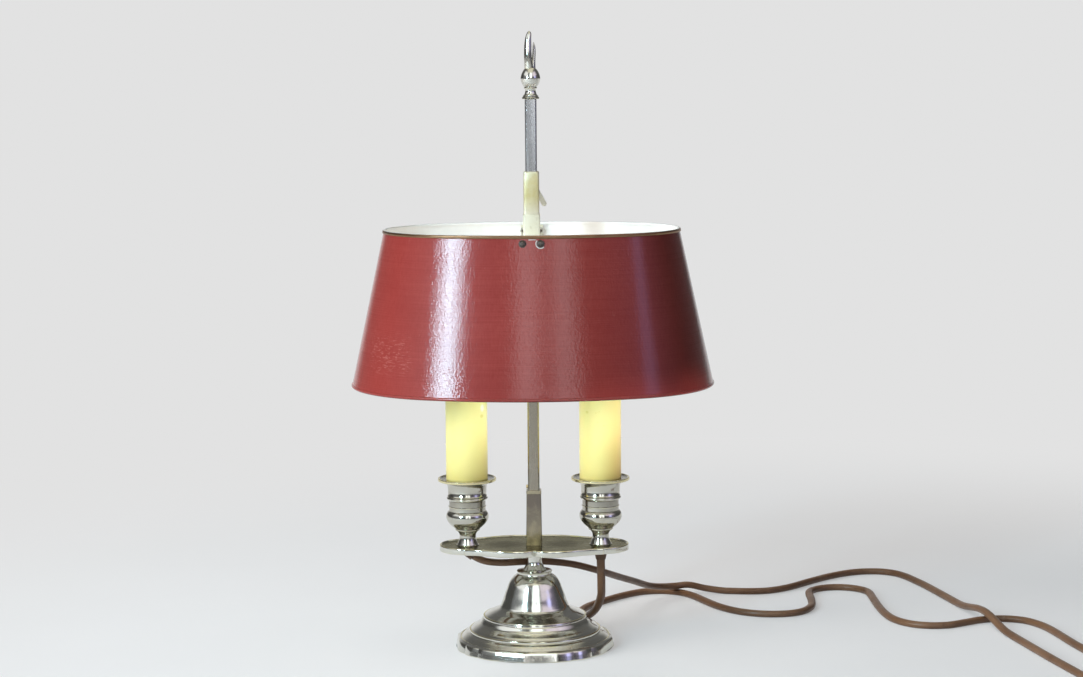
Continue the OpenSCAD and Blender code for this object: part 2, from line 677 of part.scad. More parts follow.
// the strap's ends lean with the shade's wall and are flat where the wall is slightly curved
tab_y = sqrt(pow(side_r, 2) - pow(strap_w / 2, 2)) - side_y + strap_drop * tan(slope)
    - (shade_wall + strap_gap) / cos(slope);
strap_lean = strap_tab_h * tan(slope);
strap_foot_y = tab_y + (strap_t - 0.6) * tan(slope);
strap_end = [[strap_foot_y - 0.5, 0], [strap_foot_y, 0.6], [tab_y - strap_lean, strap_t + strap_tab_h],
    [tab_y - strap_lean - strap_t, strap_t + strap_tab_h], [tab_y - strap_t, strap_t]];
module shade_strap() {
    color("goldenrod") difference() {
        translate([-strap_w / 2, 0, strap_top_z - strap_t]) rotate([90, 0, 90]) linear_extrude(strap_w)
            polygon(concat(strap_end, mirrored_x(strap_end)));
        translate([0, 0, strap_top_z - strap_t - eps]) linear_extrude(strap_t + 2 * eps)
            polygon(rounded_square(sleeve_foot_w + 2 * fit, 1.2, 3));
        at_screws() translate([0, 0, -6]) cylinder(d = screw_d + 2 * fit, h = 6);
    }
}

nut_seat = shade_wall + strap_gap + strap_t + 0.2;
nut_t = 2.2;
head_t = 1.5;
dome_r = screw_head_d * 0.72;
module shade_screws() {
    color("dimgray") at_screws() difference() {
        union() {
            translate([0, 0, -nut_seat - nut_t - 0.6]) cylinder(d = screw_d, h = nut_seat + nut_t + 0.8);
            translate([0, 0, 0.1]) intersection() {
                cylinder(d = screw_head_d, h = head_t);
                translate([0, 0, head_t - dome_r]) sphere(r = dome_r, $fn = 48);
            }
        }
        translate([-screw_head_d, -0.4, 0.8]) cube([2 * screw_head_d, 0.8, 2]);
    }
}

module shade_nuts() {
    color("goldenrod") at_screws() translate([0, 0, -nut_seat - nut_t])
        hexagon_nut(screw_d * 1.8, nut_t, screw_d);
}

//---------------------------------------------------------------- clamp

hub_y = sleeve_w / 2 + boss_out + 0.3;
hub_t = 4;
module clamp_screw() {
    color("tan") translate([0, rod_w / 2 + 0.06, clamp_z]) rotate([-90, 0, 0])
        cylinder(d = clamp_d, h = hub_y + hub_t - rod_w / 2 - 0.06);
}

module clamp_lever() {
    arm = lever_l - lever_w / 2;
    color("tan") translate([0, hub_y, clamp_z]) rotate([-90, 0, 0]) difference() {
        union() {
            cylinder(d = hub_d, h = hub_t - 0.4);
            cylinder(d = hub_d - 0.8, h = hub_t);
            rotate([0, 0, 90 - lever_lean]) {
                translate([0, -lever_w / 2, 0.6]) cube([arm, lever_w, lever_t]);
                translate([arm, 0, 0.6]) cylinder(d = lever_w, h = lever_t);
            }
        }
        translate([0, 0, -eps]) cylinder(d = clamp_d + 0.04, h = hub_t + 1);
    }
}

//---------------------------------------------------------------- flexes

// where a flex lies on the table, and a stretch of it given from the nipple that it comes out of
flex_z = flex_t / 2;
function from_nipple(side, p) = [for (q = p) [side * cup_x, 0, nipple_bottom_z] + q];

// the left flex leaves its bush sideways, passes behind the neck, drops to the table across the
// right one, swings far back and comes forward across it again
start_left = [[4.3, 0, -4.1], [9.7, 1, -7.4], [17.7, 3, -10.2], [30, 8, -12.2], [48, 15.5, -13]];
path_left = concat(from_nipple(left, start_left), [
    [10.5, 22.9, 69], [34.4, 38, 63], [58.3, 58.1, 52.5], [76.2, 93.4, 39.5], [92.1, 130.9, 27],
    [106, 160.4, 16.5], [119, 179.9, 11.2], [132.9, 189.4, 9.6], [145.9, 194.3, 9.4], [162.8, 197.3, 5.2],
    [181.6, 195.7, flex_z], [203.5, 192.9, flex_z], [223.4, 196.2, flex_z], [243.3, 210.4, flex_z],
    [263.1, 232.6, flex_z], [283, 253.8, flex_z], [302.9, 270, flex_z], [320.7, 277.7, flex_z],
    [337.5, 277.6, flex_z], [351.4, 269.1, flex_z], [360.3, 253.9, flex_z], [366.2, 235.8, flex_z],
    [374.1, 208.6, flex_z], [385.9, 158.5, flex_z], [393.8, 122.4, 3.9], [401.7, 84.2, 9.5],
    [406.6, 60.2, 9.5], [413.4, 26.3, 4], [419.3, -1.7, flex_z], [435.1, -75.8, flex_z],
    [449.8, -138.8, flex_z], [452.4, -159.8, flex_z]]);
// the right flex drops from its bush, lies behind the foot, and wanders to its own coil
start_right = [[0, 0, -bush_l], [0.2, 1.4, -18.5], [0.5, 6, -31.5], [0.3, 16, -45]];
path_right = concat(from_nipple(right, start_right), [
    [54.1, 30.3, 25], [48, 48.6, 14.5], [42, 72.8, 6.2], [40, 102.8, flex_z], [48, 132.6, flex_z],
    [66, 158.9, flex_z], [84, 180.2, flex_z], [102, 194.6, flex_z], [119.9, 197.9, flex_z],
    [135.9, 191.3, flex_z], [147.8, 176.9, flex_z], [158.7, 152.6, flex_z], [170.6, 128.2, flex_z],
    [185.5, 109.8, flex_z], [204.4, 99.1, flex_z], [225.3, 97.4, flex_z], [243.2, 105.8, flex_z],
    [254.1, 125.3, flex_z], [257.6, 151.1, flex_z], [258.4, 179.3, flex_z], [260.6, 190.2, flex_z],
    [266.8, 199.5, flex_z], [276.1, 205.7, flex_z], [287, 207.9, flex_z], [297.9, 205.7, flex_z],
    [307.2, 199.5, flex_z], [313.4, 190.2, flex_z], [315.6, 179.3, flex_z], [316, 153, flex_z],
    [316.6, 125.1, flex_z], [318.5, 97.2, flex_z], [323.5, 73.1, flex_z], [334.4, 55.8, flex_z],
    [350.2, 47.4, flex_z], [368, 48.2, flex_z], [383.8, 57.1, flex_z], [398.7, 66.6, flex_z],
    [413.5, 71.4, flex_z], [427.3, 70.4, flex_z], [440.1, 63.2, flex_z], [449, 48.9, flex_z],
    [455.9, 26.9, flex_z], [464.7, -23.1, flex_z], [470.6, -51.1, flex_z], [472.2, -65, flex_z]]);

coil_outer_r = 42.4;
coil_inner_r = coil_outer_r - flex_w;
coil_layers = 2;
coil_h = coil_layers * flex_t;
coil_left_at = [494.8, -173.6];
coil_right_at = [514.6, -77];

// a flat oval section across a path, with its broad side level
function section(here, ahead) =
    let (side = unit(cross(ahead, [0, 0, 1])), up = unit(cross(side, ahead)))
    [for (a = [0:45:315]) here + side * cos(a) * flex_w / 2 + up * sin(a) * flex_t / 2];

module flex(p) {
    last = len(p) - 1;
    color("sienna") skin([for (i = [0:last]) section(p[i], p[min(i + 1, last)] - p[max(i - 1, 0)])]);
}

module coil(at) {
    color("sienna") translate([at[0], at[1], 0]) rotate_extrude()
        translate([coil_inner_r - flex_w / 2, 0]) square([coil_outer_r - coil_inner_r + flex_w, coil_h]);
}

// the free end of each flex leaves the coil along +X and runs into the plug
tail_l = 30;
relief_l = 24;
plug_l = 36;
plug_w = 35;
plug_t = 13.6;
plug_axis_z = plug_t / 2;
module plug(at) {
    relief = [for (a = [0:30:330]) [cos(a), sin(a)]];
    outline = [[-0.5, -0.18], [-0.28, -0.5], [0.28, -0.5], [0.5, -0.18],
        [0.5, 0.18], [0.28, 0.5], [-0.28, 0.5], [-0.5, 0.18]];
    color("saddlebrown") translate([at[0] + tail_l, at[1] - coil_outer_r, plug_axis_z]) {
        skin([for (s = [[0, flex_w + 1.6], [relief_l, flex_w + 5.4]])
            [for (p = relief) [s[0], p[0] * s[1] / 2, p[1] * s[1] / 2]]]);
        skin([for (s = [[relief_l, 0.5], [relief_l + 9, 0.96], [relief_l + plug_l - 3, 1],
                [relief_l + plug_l, 0.94]])
            [for (p = outline) [s[0], p[0] * plug_w * s[1], p[1] * plug_t * (0.55 + 0.45 * s[1])]]]);
    }
}

pin_spacing = 18;
module plug_pins(at) {
    color("silver") for (side = [left, right])
        translate([at[0] + tail_l + relief_l + plug_l, at[1] - coil_outer_r + side * pin_spacing / 2,
                plug_axis_z])
            rotate([0, 90, 0]) {
                cylinder(d = 4, h = 18);
                translate([0, 0, 18]) cylinder(d1 = 4, d2 = 2.4, h = 1);
            }
}

module tail(at) {
    start = [at[0], at[1] - coil_outer_r, coil_h - flex_t / 2];
    color("sienna") skin([for (x = [0, 15, tail_l])
        section(start + [x, 0, (plug_axis_z - start[2]) * x / tail_l], [1, 0, 0])]);
}

// a turned bush whose nose holds the flex; the left one is bent towards the neck
bush_top_d = 12;
bush_nose_d = 8.4;
bush_top_z = nipple_bottom_z - 0.1;
bush_bend = 121;
module cord_bush_right() {
    color("saddlebrown") at_cup(right) translate([0, 0, bush_top_z - bush_l])
        cylinder(d1 = bush_nose_d, d2 = bush_top_d, h = bush_l);
}

module cord_bush_left() {
    color("saddlebrown") hull() {
        at_cup(left) translate([0, 0, bush_top_z - 1.4]) cylinder(d = bush_top_d, h = 1.4, $fn = 32);
        translate(path_left[0]) rotate([0, bush_bend, 0]) translate([0, 0, -0.6])
            cylinder(d = bush_nose_d, h = 0.6, $fn = 32);
    }
}

module cord_left() {
    flex(path_left);
    tail(coil_left_at);
}

module cord_right() {
    flex(path_right);
    tail(coil_right_at);
}

base_felt();
base_weight();
base_shell();
base_washer();
base_nut();
tie_rod();
stem_neck();
tray();
rod_socket();
lamp_rod();
stop_pin();
finial_urn();
finial_flame();
at_cup(left) cup();  // cup_left
at_cup(right) cup();  // cup_right
at_cup(left) nipple();  // nipple_left
at_cup(right) nipple();  // nipple_right
tray_lock_nuts();
cup_lock_nuts();
at_cup(left) lampholder();  // lampholder_left
at_cup(right) lampholder();  // lampholder_right
at_cup(left) terminal_block();  // terminal_block_left
at_cup(right) terminal_block();  // terminal_block_right
at_cup(left) candle_sleeve();  // candle_sleeve_left
at_cup(right) candle_sleeve();  // candle_sleeve_right
at_cup(left) bulb_cap();  // bulb_cap_left
at_cup(right) bulb_cap();  // bulb_cap_right
at_cup(left) bulb_glass();  // bulb_glass_left
at_cup(right) bulb_glass();  // bulb_glass_right
cord_bush_left();
cord_bush_right();
shade_sleeve();
shade_strap();
shade_shell();
shade_top_edge();
shade_bottom_rim();
shade_screws();
shade_nuts();
clamp_screw();
clamp_lever();
cord_left();
cord_right();
coil(coil_left_at);  // coil_left
coil(coil_right_at);  // coil_right
plug(coil_left_at);  // plug_left
plug(coil_right_at);  // plug_right
plug_pins(coil_left_at);  // plug_pins_left
plug_pins(coil_right_at);  // plug_pins_right
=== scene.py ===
import bmesh
import bpy
from functools import reduce
from math import atan2, cos, degrees, pi, radians, sin, sqrt
from mathutils import Matrix, Vector


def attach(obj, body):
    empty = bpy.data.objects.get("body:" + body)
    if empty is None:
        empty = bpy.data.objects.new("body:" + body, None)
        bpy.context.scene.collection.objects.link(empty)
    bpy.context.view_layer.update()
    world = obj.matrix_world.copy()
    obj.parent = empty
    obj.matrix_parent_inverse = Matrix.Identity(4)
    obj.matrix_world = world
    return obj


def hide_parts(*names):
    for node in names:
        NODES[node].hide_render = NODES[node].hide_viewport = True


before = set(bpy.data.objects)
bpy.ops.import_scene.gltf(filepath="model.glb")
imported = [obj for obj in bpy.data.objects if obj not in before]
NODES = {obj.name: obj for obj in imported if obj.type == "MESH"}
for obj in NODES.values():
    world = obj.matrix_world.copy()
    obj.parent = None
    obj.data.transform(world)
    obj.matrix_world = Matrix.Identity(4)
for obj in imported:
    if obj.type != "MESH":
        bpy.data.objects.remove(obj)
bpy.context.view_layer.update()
MM = 0.001
scene = bpy.context.scene
scene.view_settings.view_transform = "Standard"

# ------------------------------------------------------------------ camera
# fitted to the photograph, which is 1083 pixels wide and has a focal length of 2494 of those pixels
PHOTO_WIDTH_PX, FOCAL_LENGTH_PX = 1083, 2494
CAMERA_AT = (0.0077, -2.130, 0.5194)
DOWN_DEG, ROLL_DEG = 6.71, 0.45

cam_data = bpy.data.cameras.new("camera")
cam = bpy.data.objects.new("camera", cam_data)
scene.collection.objects.link(cam)
cam.location = CAMERA_AT
aim = Matrix.Rotation(radians(90 - DOWN_DEG), 3, "X") @ Matrix.Rotation(radians(-ROLL_DEG), 3, "Z")
cam.rotation_euler = aim.to_euler()
cam_data.sensor_width = 36
cam_data.lens = FOCAL_LENGTH_PX / PHOTO_WIDTH_PX * cam_data.sensor_width
scene.camera = cam


# ------------------------------------------------------------------ small tools
def curve_point(a, b, c, d, t):
    """A point between b and c on a smooth curve that comes from a and goes on to d."""
    return [0.5 * (2 * b[k] + (c[k] - a[k]) * t + (2 * a[k] - 5 * b[k] + 4 * c[k] - d[k]) * t * t
                   + (3 * b[k] - a[k] - 3 * c[k] + d[k]) * t ** 3) for k in range(len(b))]


def curve(p, steps):
    """A smooth curve through the points of p, with a number of steps from each to the next."""
    last = len(p) - 1
    out = [curve_point(p[max(i - 1, 0)], p[i], p[i + 1], p[min(i + 2, last)], s / steps)
           for i in range(last) for s in range(steps)]
    return out + [list(p[-1])]


def polar(r, deg, at=(0, 0)):
    """The point at a distance and an angle in degrees from another point."""
    return at[0] + r * cos(radians(deg)), at[1] + r * sin(radians(deg))


def raised(points, z):
    """A profile of (radius, height) points, lifted by z."""
    return [(r, z + h) for r, h in points]


def squared(c, power):
    """A sine or cosine drawn towards 1 or -1, which makes an oval squarer."""
    return abs(c) ** power * (1 if c > 0 else -1)


def smooth_step(t):
    return t * t * (3 - 2 * t)


def ease(a, start, end):
    """0 up to start, 1 from end on, and a soft step between them."""
    return smooth_step(min(max((a - start) / (end - start), 0), 1))


def obj_from(name, verts, faces, mats, face_mats=None, sharp=35):
    """A smooth object from points in millimetres. Edges of more than sharp degrees stay crisp."""
    me = bpy.data.meshes.new(name)
    me.from_pydata([[c * MM for c in v] for v in verts], [], faces)
    me.validate()
    ob = bpy.data.objects.new(name, me)
    scene.collection.objects.link(ob)
    for m in mats if isinstance(mats, list) else [mats]:
        me.materials.append(m)
    for poly, k in zip(me.polygons, face_mats or []):
        poly.material_index = k
    bm = bmesh.new()
    bm.from_mesh(me)
    bmesh.ops.recalc_face_normals(bm, faces=bm.faces)
    bm.to_mesh(me)
    bm.free()
    for poly in me.polygons:
        poly.use_smooth = True
    me.set_sharp_from_angle(angle=radians(sharp))
    return ob


def place(ob, body, slot, *nodes):
    """Hangs a piece on the body it rides on and hides the nodes it stands for; its slot is not used."""
    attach(ob, body)
    if nodes:
        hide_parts(*nodes)
    return ob


def skin_rings(rings, cap=True):
    """A skin over rings with the same number of points, open or closed at its ends."""
    n = len(rings[0])
    verts = [v for r in rings for v in r]
    faces = []
    for k in range(len(rings) - 1):
        for i in range(n):
            j = (i + 1) % n
            faces.append((k * n + i, k * n + j, (k + 1) * n + j, (k + 1) * n + i))
    if cap:
        faces.append(tuple(range(n - 1, -1, -1)))
        faces.append(tuple((len(rings) - 1) * n + i for i in range(n)))
    return verts, faces


def lathe(prof, at=(0, 0), segs=128, loop=False):
    """Spins a profile of (radius, height) points about a vertical axis."""
    verts, faces, ring = [], [], []
    turns = [2 * pi * i / segs for i in range(segs)]
    for r, z in prof:
        if r < 1e-6:
            ring.append([len(verts)])
            verts.append((at[0], at[1], z))
        else:
            ring.append(list(range(len(verts), len(verts) + segs)))
            verts += [(at[0] + r * cos(t), at[1] + r * sin(t), z) for t in turns]
    pairs = list(zip(ring, ring[1:])) + ([(ring[-1], ring[0])] if loop else [])
    for a, b in pairs:
        if len(a) == 1 and len(b) == 1:
            continue
        for i in range(segs):
            j = (i + 1) % segs
            if len(a) == 1:
                faces.append((a[0], b[j], b[i]))
            elif len(b) == 1:
                faces.append((a[i], a[j], b[0]))
            else:
                faces.append((a[i], a[j], b[j], b[i]))
    return verts, faces


# ------------------------------------------------------------------ node graphs
def rgba(c):
    """A grey or a colour, as a socket takes it."""
    return (c, c, c, 1) if isinstance(c, (int, float)) else (*c, 1)


class G:
    """A short way to write node graphs. A value is a number, or the socket that gives it."""
    def __init__(self, nt):
        self.nt = nt

    def node(self, kind, **props):
        n = self.nt.nodes.new(kind)
        for k, v in props.items():
            setattr(n, k, v)
        return n

    def put(self, sock, v):
        if isinstance(v, bpy.types.NodeSocket):
            self.nt.links.new(v, sock)
        else:
            sock.default_value = v

    def fill(self, n, values):
        for name, v in values.items():
            self.put(n.inputs[name], v)

    def coords(self, scale=(1, 1, 1), rot=(0, 0, 0)):
        mp = self.node("ShaderNodeMapping")
        self.fill(mp, {"Vector": self.node("ShaderNodeTexCoord").outputs["Object"],
                       "Scale": scale, "Rotation": rot})
        return mp.outputs[0]

    def noise(self, vec, scale, detail=4, rough=0.55, dist=0.0):
        n = self.node("ShaderNodeTexNoise")
        self.fill(n, {"Vector": vec, "Scale": scale, "Detail": detail, "Roughness": rough,
                      "Distortion": dist})
        return n.outputs["Fac"]

    def math(self, op, a, b=0.0, clamp=False):
        n = self.node("ShaderNodeMath", operation=op, use_clamp=clamp)
        self.put(n.inputs[0], a)
        self.put(n.inputs[1], b)
        return n.outputs[0]

    def add(self, *terms, clamp=False):
        return reduce(lambda a, b: self.math("ADD", a, b, clamp), terms)

    def mul(self, *factors):
        return reduce(lambda a, b: self.math("MULTIPLY", a, b), factors)

    def sub(self, a, b):
        return self.math("SUBTRACT", a, b)

    def off(self, a, b):
        """How far one value is from another."""
        return self.math("ABSOLUTE", self.sub(a, b))

    def squares(self, a, b):
        return self.add(self.mul(a, a), self.mul(b, b))

    def length(self, a, b):
        return self.math("SQRT", self.squares(a, b))

    def remap(self, v, a, b, c=0, d=1, kind="LINEAR"):
        """v from a to b becomes c to d, and no more than that."""
        n = self.node("ShaderNodeMapRange", interpolation_type=kind)
        for k, x in enumerate((v, a, b, c, d)):
            self.put(n.inputs[k], x)
        return n.outputs[0]

    def ramp(self, fac, stops):
        n = self.node("ShaderNodeValToRGB")
        self.put(n.inputs[0], fac)
        el = n.color_ramp.elements
        while len(el) < len(stops):
            el.new(0.5)
        for e, (p, c) in zip(el, stops):
            e.position, e.color = p, rgba(c)
        return n.outputs[0]

    def mix(self, fac, a, b):
        n = self.node("ShaderNodeMix", data_type="RGBA")
        self.put(n.inputs[0], fac)
        for s, v in ((n.inputs[6], a), (n.inputs[7], b)):
            self.put(s, v if isinstance(v, bpy.types.NodeSocket) else rgba(v))
        return n.outputs[2]

    def mix_shaders(self, fac, a, b):
        n = self.node("ShaderNodeMixShader")
        for s, v in zip(n.inputs, (fac, a, b)):
            self.put(s, v)
        return n.outputs[0]

    def sep(self, v):
        n = self.node("ShaderNodeSeparateXYZ")
        self.put(n.inputs[0], v)
        return n.outputs

    def bump(self, height, strength, distance, normal=None):
        n = self.node("ShaderNodeBump")
        self.fill(n, {"Height": height, "Strength": strength, "Distance": distance})
        if normal is not None:
            self.put(n.inputs["Normal"], normal)
        return n.outputs[0]

    def rounded(self, radius):
        """The normal of edges that look rounded."""
        n = self.node("ShaderNodeBevel", samples=4)
        n.inputs[0].default_value = radius
        return n.outputs[0]

    def light_path(self, *names):
        """1 for the named kinds of ray, 0 for the others."""
        outputs = self.node("ShaderNodeLightPath").outputs
        return reduce(lambda a, b: self.math("MAXIMUM", a, b), [outputs[name] for name in names])


# ------------------------------------------------------------------ materials
def new_mat(name):
    """A material, its graph, its shader and its object's coordinates."""
    m = bpy.data.materials.new(name)
    m.use_nodes = True
    m.node_tree.nodes.clear()
    g = G(m.node_tree)
    out = g.node("ShaderNodeOutputMaterial")
    bsdf = g.node("ShaderNodeBsdfPrincipled")
    g.put(out.inputs[0], bsdf.outputs[0])
    return m, g, bsdf, g.coords()


def metal(name, base, tint, dark, rough, wear=0.5, bevel=0.0, stretch=(1, 1, 1), patina=0.5, low=None,
          metallic=1.0, specks=0.12):
    """Plated or bare metal: a base colour, a warm tint where it is worn, dark deposits in the hollows.
    low = (colour, z where it starts, z where it is full) gives the lower part another tone."""
    m, g, b, v = new_mat(name)
    cloud = g.noise(v, 38, 5, 0.6, 0.6)
    fine = g.noise(g.coords(stretch), 420, 3, 0.6)
    spots = g.noise(v, 160, 3, 0.7)
    pointy = g.node("ShaderNodeNewGeometry").outputs["Pointiness"]
    if low:
        tone, start, full = low
        base = g.mix(g.remap(g.add(g.sep(v)[2], g.mul(cloud, 0.012)), start, full), base, tone)
    worn = g.add(g.remap(pointy, 0.515, 0.56, 0, wear), g.remap(cloud, 0.5, 0.72, 0, wear * 0.6), clamp=True)
    hollow = g.add(g.remap(pointy, 0.485, 0.44, 0, patina), g.remap(spots, 0.55, 0.85, 0, specks),
                   clamp=True)
    lines = g.noise(g.coords((30, 30, 2.5), (0.4, 0.25, 0.1)), 14, 2, 0.5)
    g.fill(b, {
        "Base Color": g.mix(hollow, g.mix(worn, base, tint), dark),
        "Metallic": metallic,
        "Roughness": g.add(g.remap(fine, 0.3, 0.75, rough * 0.75, rough * 1.25),
                           g.mul(g.remap(spots, 0.45, 0.8, 0, 0.12), patina)),
        "Normal": g.bump(g.add(g.mul(fine, 0.5), lines), 0.06, 0.0004, g.rounded(bevel) if bevel else None)})
    return m


SILVER = metal("silver_plate", (0.70, 0.695, 0.635), (0.70, 0.64, 0.42), (0.13, 0.11, 0.08), 0.13,
               wear=0.4, patina=0.4)
# worn plating and painted warm light together: the edges' pale yellow stands both for brass showing through
# and for a warm highlight from above
SILVER_WORN_LIT_LIP = metal("silver_plate_worn_lit_edge", (0.80, 0.75, 0.50), (0.82, 0.72, 0.40), (0.3, 0.25, 0.12), 0.24,
                   wear=0.6, patina=0.2)
SILVER_EDGE = metal("silver_plate_square", (0.215, 0.185, 0.155), (0.70, 0.62, 0.40), (0.12, 0.10, 0.07), 0.2,
                    wear=0.6, bevel=0.0006, patina=0.25, stretch=(1, 1, 0.12))
# the rod is painted darker and browner from inside the shade downwards: painted shade under the shade
ROD = metal("silver_rod", (0.60, 0.62, 0.65), (0.62, 0.60, 0.56), (0.34, 0.33, 0.30), 0.26,
            wear=0.3, bevel=0.0004, patina=0.15, stretch=(1, 1, 0.06), specks=0.05,
            low=((0.31, 0.265, 0.195), 0.33, 0.24))
# the sleeve, and the strap in the same finish, are painted paler and creamier at the bottom, by the shade's
# opening: painted light, as from the lit bulbs below
SLEEVE = metal("sleeve_brass", (0.66, 0.56, 0.265), (0.90, 0.88, 0.70), (0.46, 0.40, 0.22), 0.42,
               wear=0.7, bevel=0.0005, patina=0.35, metallic=0.55, specks=0.5,
               low=((0.93, 0.885, 0.735), 0.398, 0.378))
LEVER = metal("lever_brass", (0.93, 0.92, 0.80), (0.95, 0.93, 0.80), (0.55, 0.50, 0.34), 0.32,
              bevel=0.0004, metallic=0.5)
BRASS = metal("plain_brass", (0.66, 0.52, 0.26), (0.80, 0.66, 0.36), (0.2, 0.14, 0.06), 0.28, bevel=0.0003)
EDGE_BRASS = metal("shade_edge_brass", (0.19, 0.10, 0.055), (0.42, 0.26, 0.14), (0.06, 0.03, 0.02), 0.4)
STEEL = metal("zinc_steel", (0.62, 0.62, 0.60), (0.72, 0.72, 0.70), (0.2, 0.19, 0.18), 0.25, bevel=0.0002)
DARK_STEEL = metal("dark_steel", (0.055, 0.048, 0.045), (0.20, 0.17, 0.15), (0.02, 0.02, 0.02), 0.36,
                   wear=0.7, bevel=0.0002)
CAP = metal("cap_aluminium", (0.74, 0.74, 0.75), (0.8, 0.8, 0.8), (0.3, 0.3, 0.3), 0.3)
CUP_DISH = metal("silver_plate_cup_dish", (0.36, 0.35, 0.30), (0.62, 0.57, 0.40), (0.10, 0.09, 0.07), 0.24,
                 wear=0.4)
CUP_PLATE = metal("silver_plate_cup", (0.575, 0.56, 0.495), (0.66, 0.60, 0.38), (0.12, 0.10, 0.07), 0.14,
                  wear=0.45, patina=0.45)


def tray_plate():
    """The tray's top: plate gone olive, with a painted dark reflection, a dull dark cloud, on each side of
    the socket.
    """
    m, g, b, v = new_mat("silver_plate_tray")
    x, y, _ = g.sep(v)
    cloud = g.noise(v, 30, 5, 0.6, 0.8)
    rub = g.noise(g.coords((8, 60, 8), (0, 0, 0.2)), 9, 3, 0.6)
    col = g.ramp(cloud, [(0.3, (0.335, 0.325, 0.25)), (0.5, (0.41, 0.40, 0.315)),
                         (0.75, (0.55, 0.535, 0.43))])
    # each painted dark reflection is an oval 25 mm from the middle, with half widths of 17 and 16 mm
    side = g.math("DIVIDE", g.sub(g.math("ABSOLUTE", x), 0.025), 0.017)
    deep = g.math("DIVIDE", y, 0.016)
    dull = g.remap(g.add(g.squares(side, deep), g.mul(cloud, 0.9)), 0.75, 1.75, 0.8, 0)
    g.fill(b, {
        "Base Color": g.mix(dull, col, (0.15, 0.142, 0.115)),
        "Metallic": 1.0,
        "Specular Tint": rgba((0.50, 0.485, 0.41)),
        "Roughness": g.remap(rub, 0.3, 0.7, 0.18, 0.30),
        "Normal": g.bump(g.add(rub, g.noise(v, 260, 2)), 0.05, 0.0004)})
    return m


def lacquer_chips_and_glint(g, v, x, y, z):
    """Where the lacquer is gone down to its white ground, and a painted glint beside the right-hand front
    screw, from 0 to 1.
    """
    spots = (((0.1237, -0.016, 0.3572), 0.0012), ((-0.1495, -0.024, 0.2362), 0.0011),
             ((0.0787, -0.1000, 0.2345), 0.0009), ((0.0688, -0.0905, 0.2745), 0.0005),
             ((-0.131, 0.05, 0.30), 0.0012), ((0.02, 0.1025, 0.255), 0.0011))
    chips = []
    for p, r in spots:
        away = g.node("ShaderNodeVectorMath", operation="DISTANCE")
        g.put(away.inputs[0], v)
        away.inputs[1].default_value = p
        ragged = g.add(away.outputs["Value"], g.mul(g.noise(v, 900, 2), 0.0012))
        chips.append(g.remap(ragged, r + 0.0008, r + 0.0004))
    # a short dash between the two front screws, and a painted glint: an arc round the lower left of the
    # right-hand one
    front = g.remap(y, -0.03, -0.05)
    dash = g.mul(g.remap(g.off(x, 0.0008), 0.0034, 0.0030), g.remap(g.off(z, 0.3603), 0.00042, 0.00022),
                 front)
    dx, dz = g.sub(x, 0.0075), g.sub(z, 0.3571)
    circle = g.remap(g.off(g.length(dx, dz), 0.0038), 0.00055, 0.0003)
    arc = g.mul(circle, g.remap(g.add(dx, dz), 0.0006, -0.0006), front)
    return reduce(lambda a, c: g.math("MAXIMUM", a, c), chips + [dash, arc])


def lacquer():
    m, g, b, v = new_mat("red_lacquer")
    x, y, z = g.sep(v)
    # long, fine horizontal brush lines, a crossing linen-like weave and slow clouds of colour
    brush = g.noise(g.coords((5, 5, 420)), 3.2, 3, 0.65)
    weave = g.noise(g.coords((330, 330, 14)), 2.4, 2, 0.6)
    cloud = g.noise(v, 9, 4, 0.6, 0.4)
    peel = g.noise(v, 560, 2, 0.5)
    streak = g.add(g.mul(brush, 0.6), g.mul(weave, 0.4))
    col = g.ramp(streak, [(0.30, (0.295, 0.036, 0.029)), (0.5, (0.355, 0.050, 0.041)),
                          (0.72, (0.41, 0.066, 0.054))])
    col = g.mix(g.remap(cloud, 0.42, 0.7, 0, 0.5), col, (0.275, 0.032, 0.027))
    # painted shade: the lacquer is darker towards the bottom of the shade
    col = g.mix(g.remap(z, 0.31, 0.235, 0, 0.15), col, (0.22, 0.028, 0.023))
    # rubbed scratches low on the left of the front, and fine stray hairlines
    hair = g.noise(g.coords((26, 26, 150), (0.0, 0.35, 0.2)), 6.5, 3, 0.7, 0.3)
    zone = g.mul(g.remap(z, 0.245, 0.255), g.remap(z, 0.285, 0.27),
                 g.remap(x, -0.138, -0.13), g.remap(x, -0.098, -0.106))
    rub = g.mul(g.remap(hair, 0.555, 0.61, 0, 0.6), zone, g.remap(y, -0.01, -0.03))
    stray = g.remap(g.noise(g.coords((55, 55, 7), (0.5, 0.1, 0.9)), 6, 2, 0.5, 1.2), 0.735, 0.76, 0, 0.16)
    col = g.mix(g.add(rub, stray, clamp=True), col, (0.55, 0.17, 0.14))
    grain = g.add(g.mul(brush, 0.35), g.mul(weave, 0.25), g.mul(peel, 0.9))
    waves = g.bump(cloud, 0.10, 0.004)
    g.fill(b, {
        "Base Color": g.mix(lacquer_chips_and_glint(g, v, x, y, z), col, (0.72, 0.68, 0.64)),
        "Roughness": g.remap(streak, 0.3, 0.7, 0.50, 0.36),
        "Specular IOR Level": 0.12,
        "Coat Weight": 0.85,
        "Coat Roughness": 0.07,
        "Normal": g.bump(grain, 0.22, 0.0005, waves),
        "Coat Normal": g.bump(grain, 0.27, 0.0005, waves)})
    return m


def white_paint():
    """The inside of the shade, a little yellowed near its top."""
    m, g, b, v = new_mat("shade_inside_white")
    col = g.ramp(g.noise(v, 26, 4, 0.6), [(0.3, (0.89, 0.88, 0.85)), (0.6, (0.93, 0.925, 0.905))])
    g.fill(b, {
        "Base Color": g.mix(g.remap(g.sep(v)[2], 0.335, 0.362, 0, 0.12), col, (0.80, 0.74, 0.58)),
        "Roughness": 0.5,
        "Normal": g.bump(g.noise(v, 400, 3), 0.15, 0.0005)})
    return m


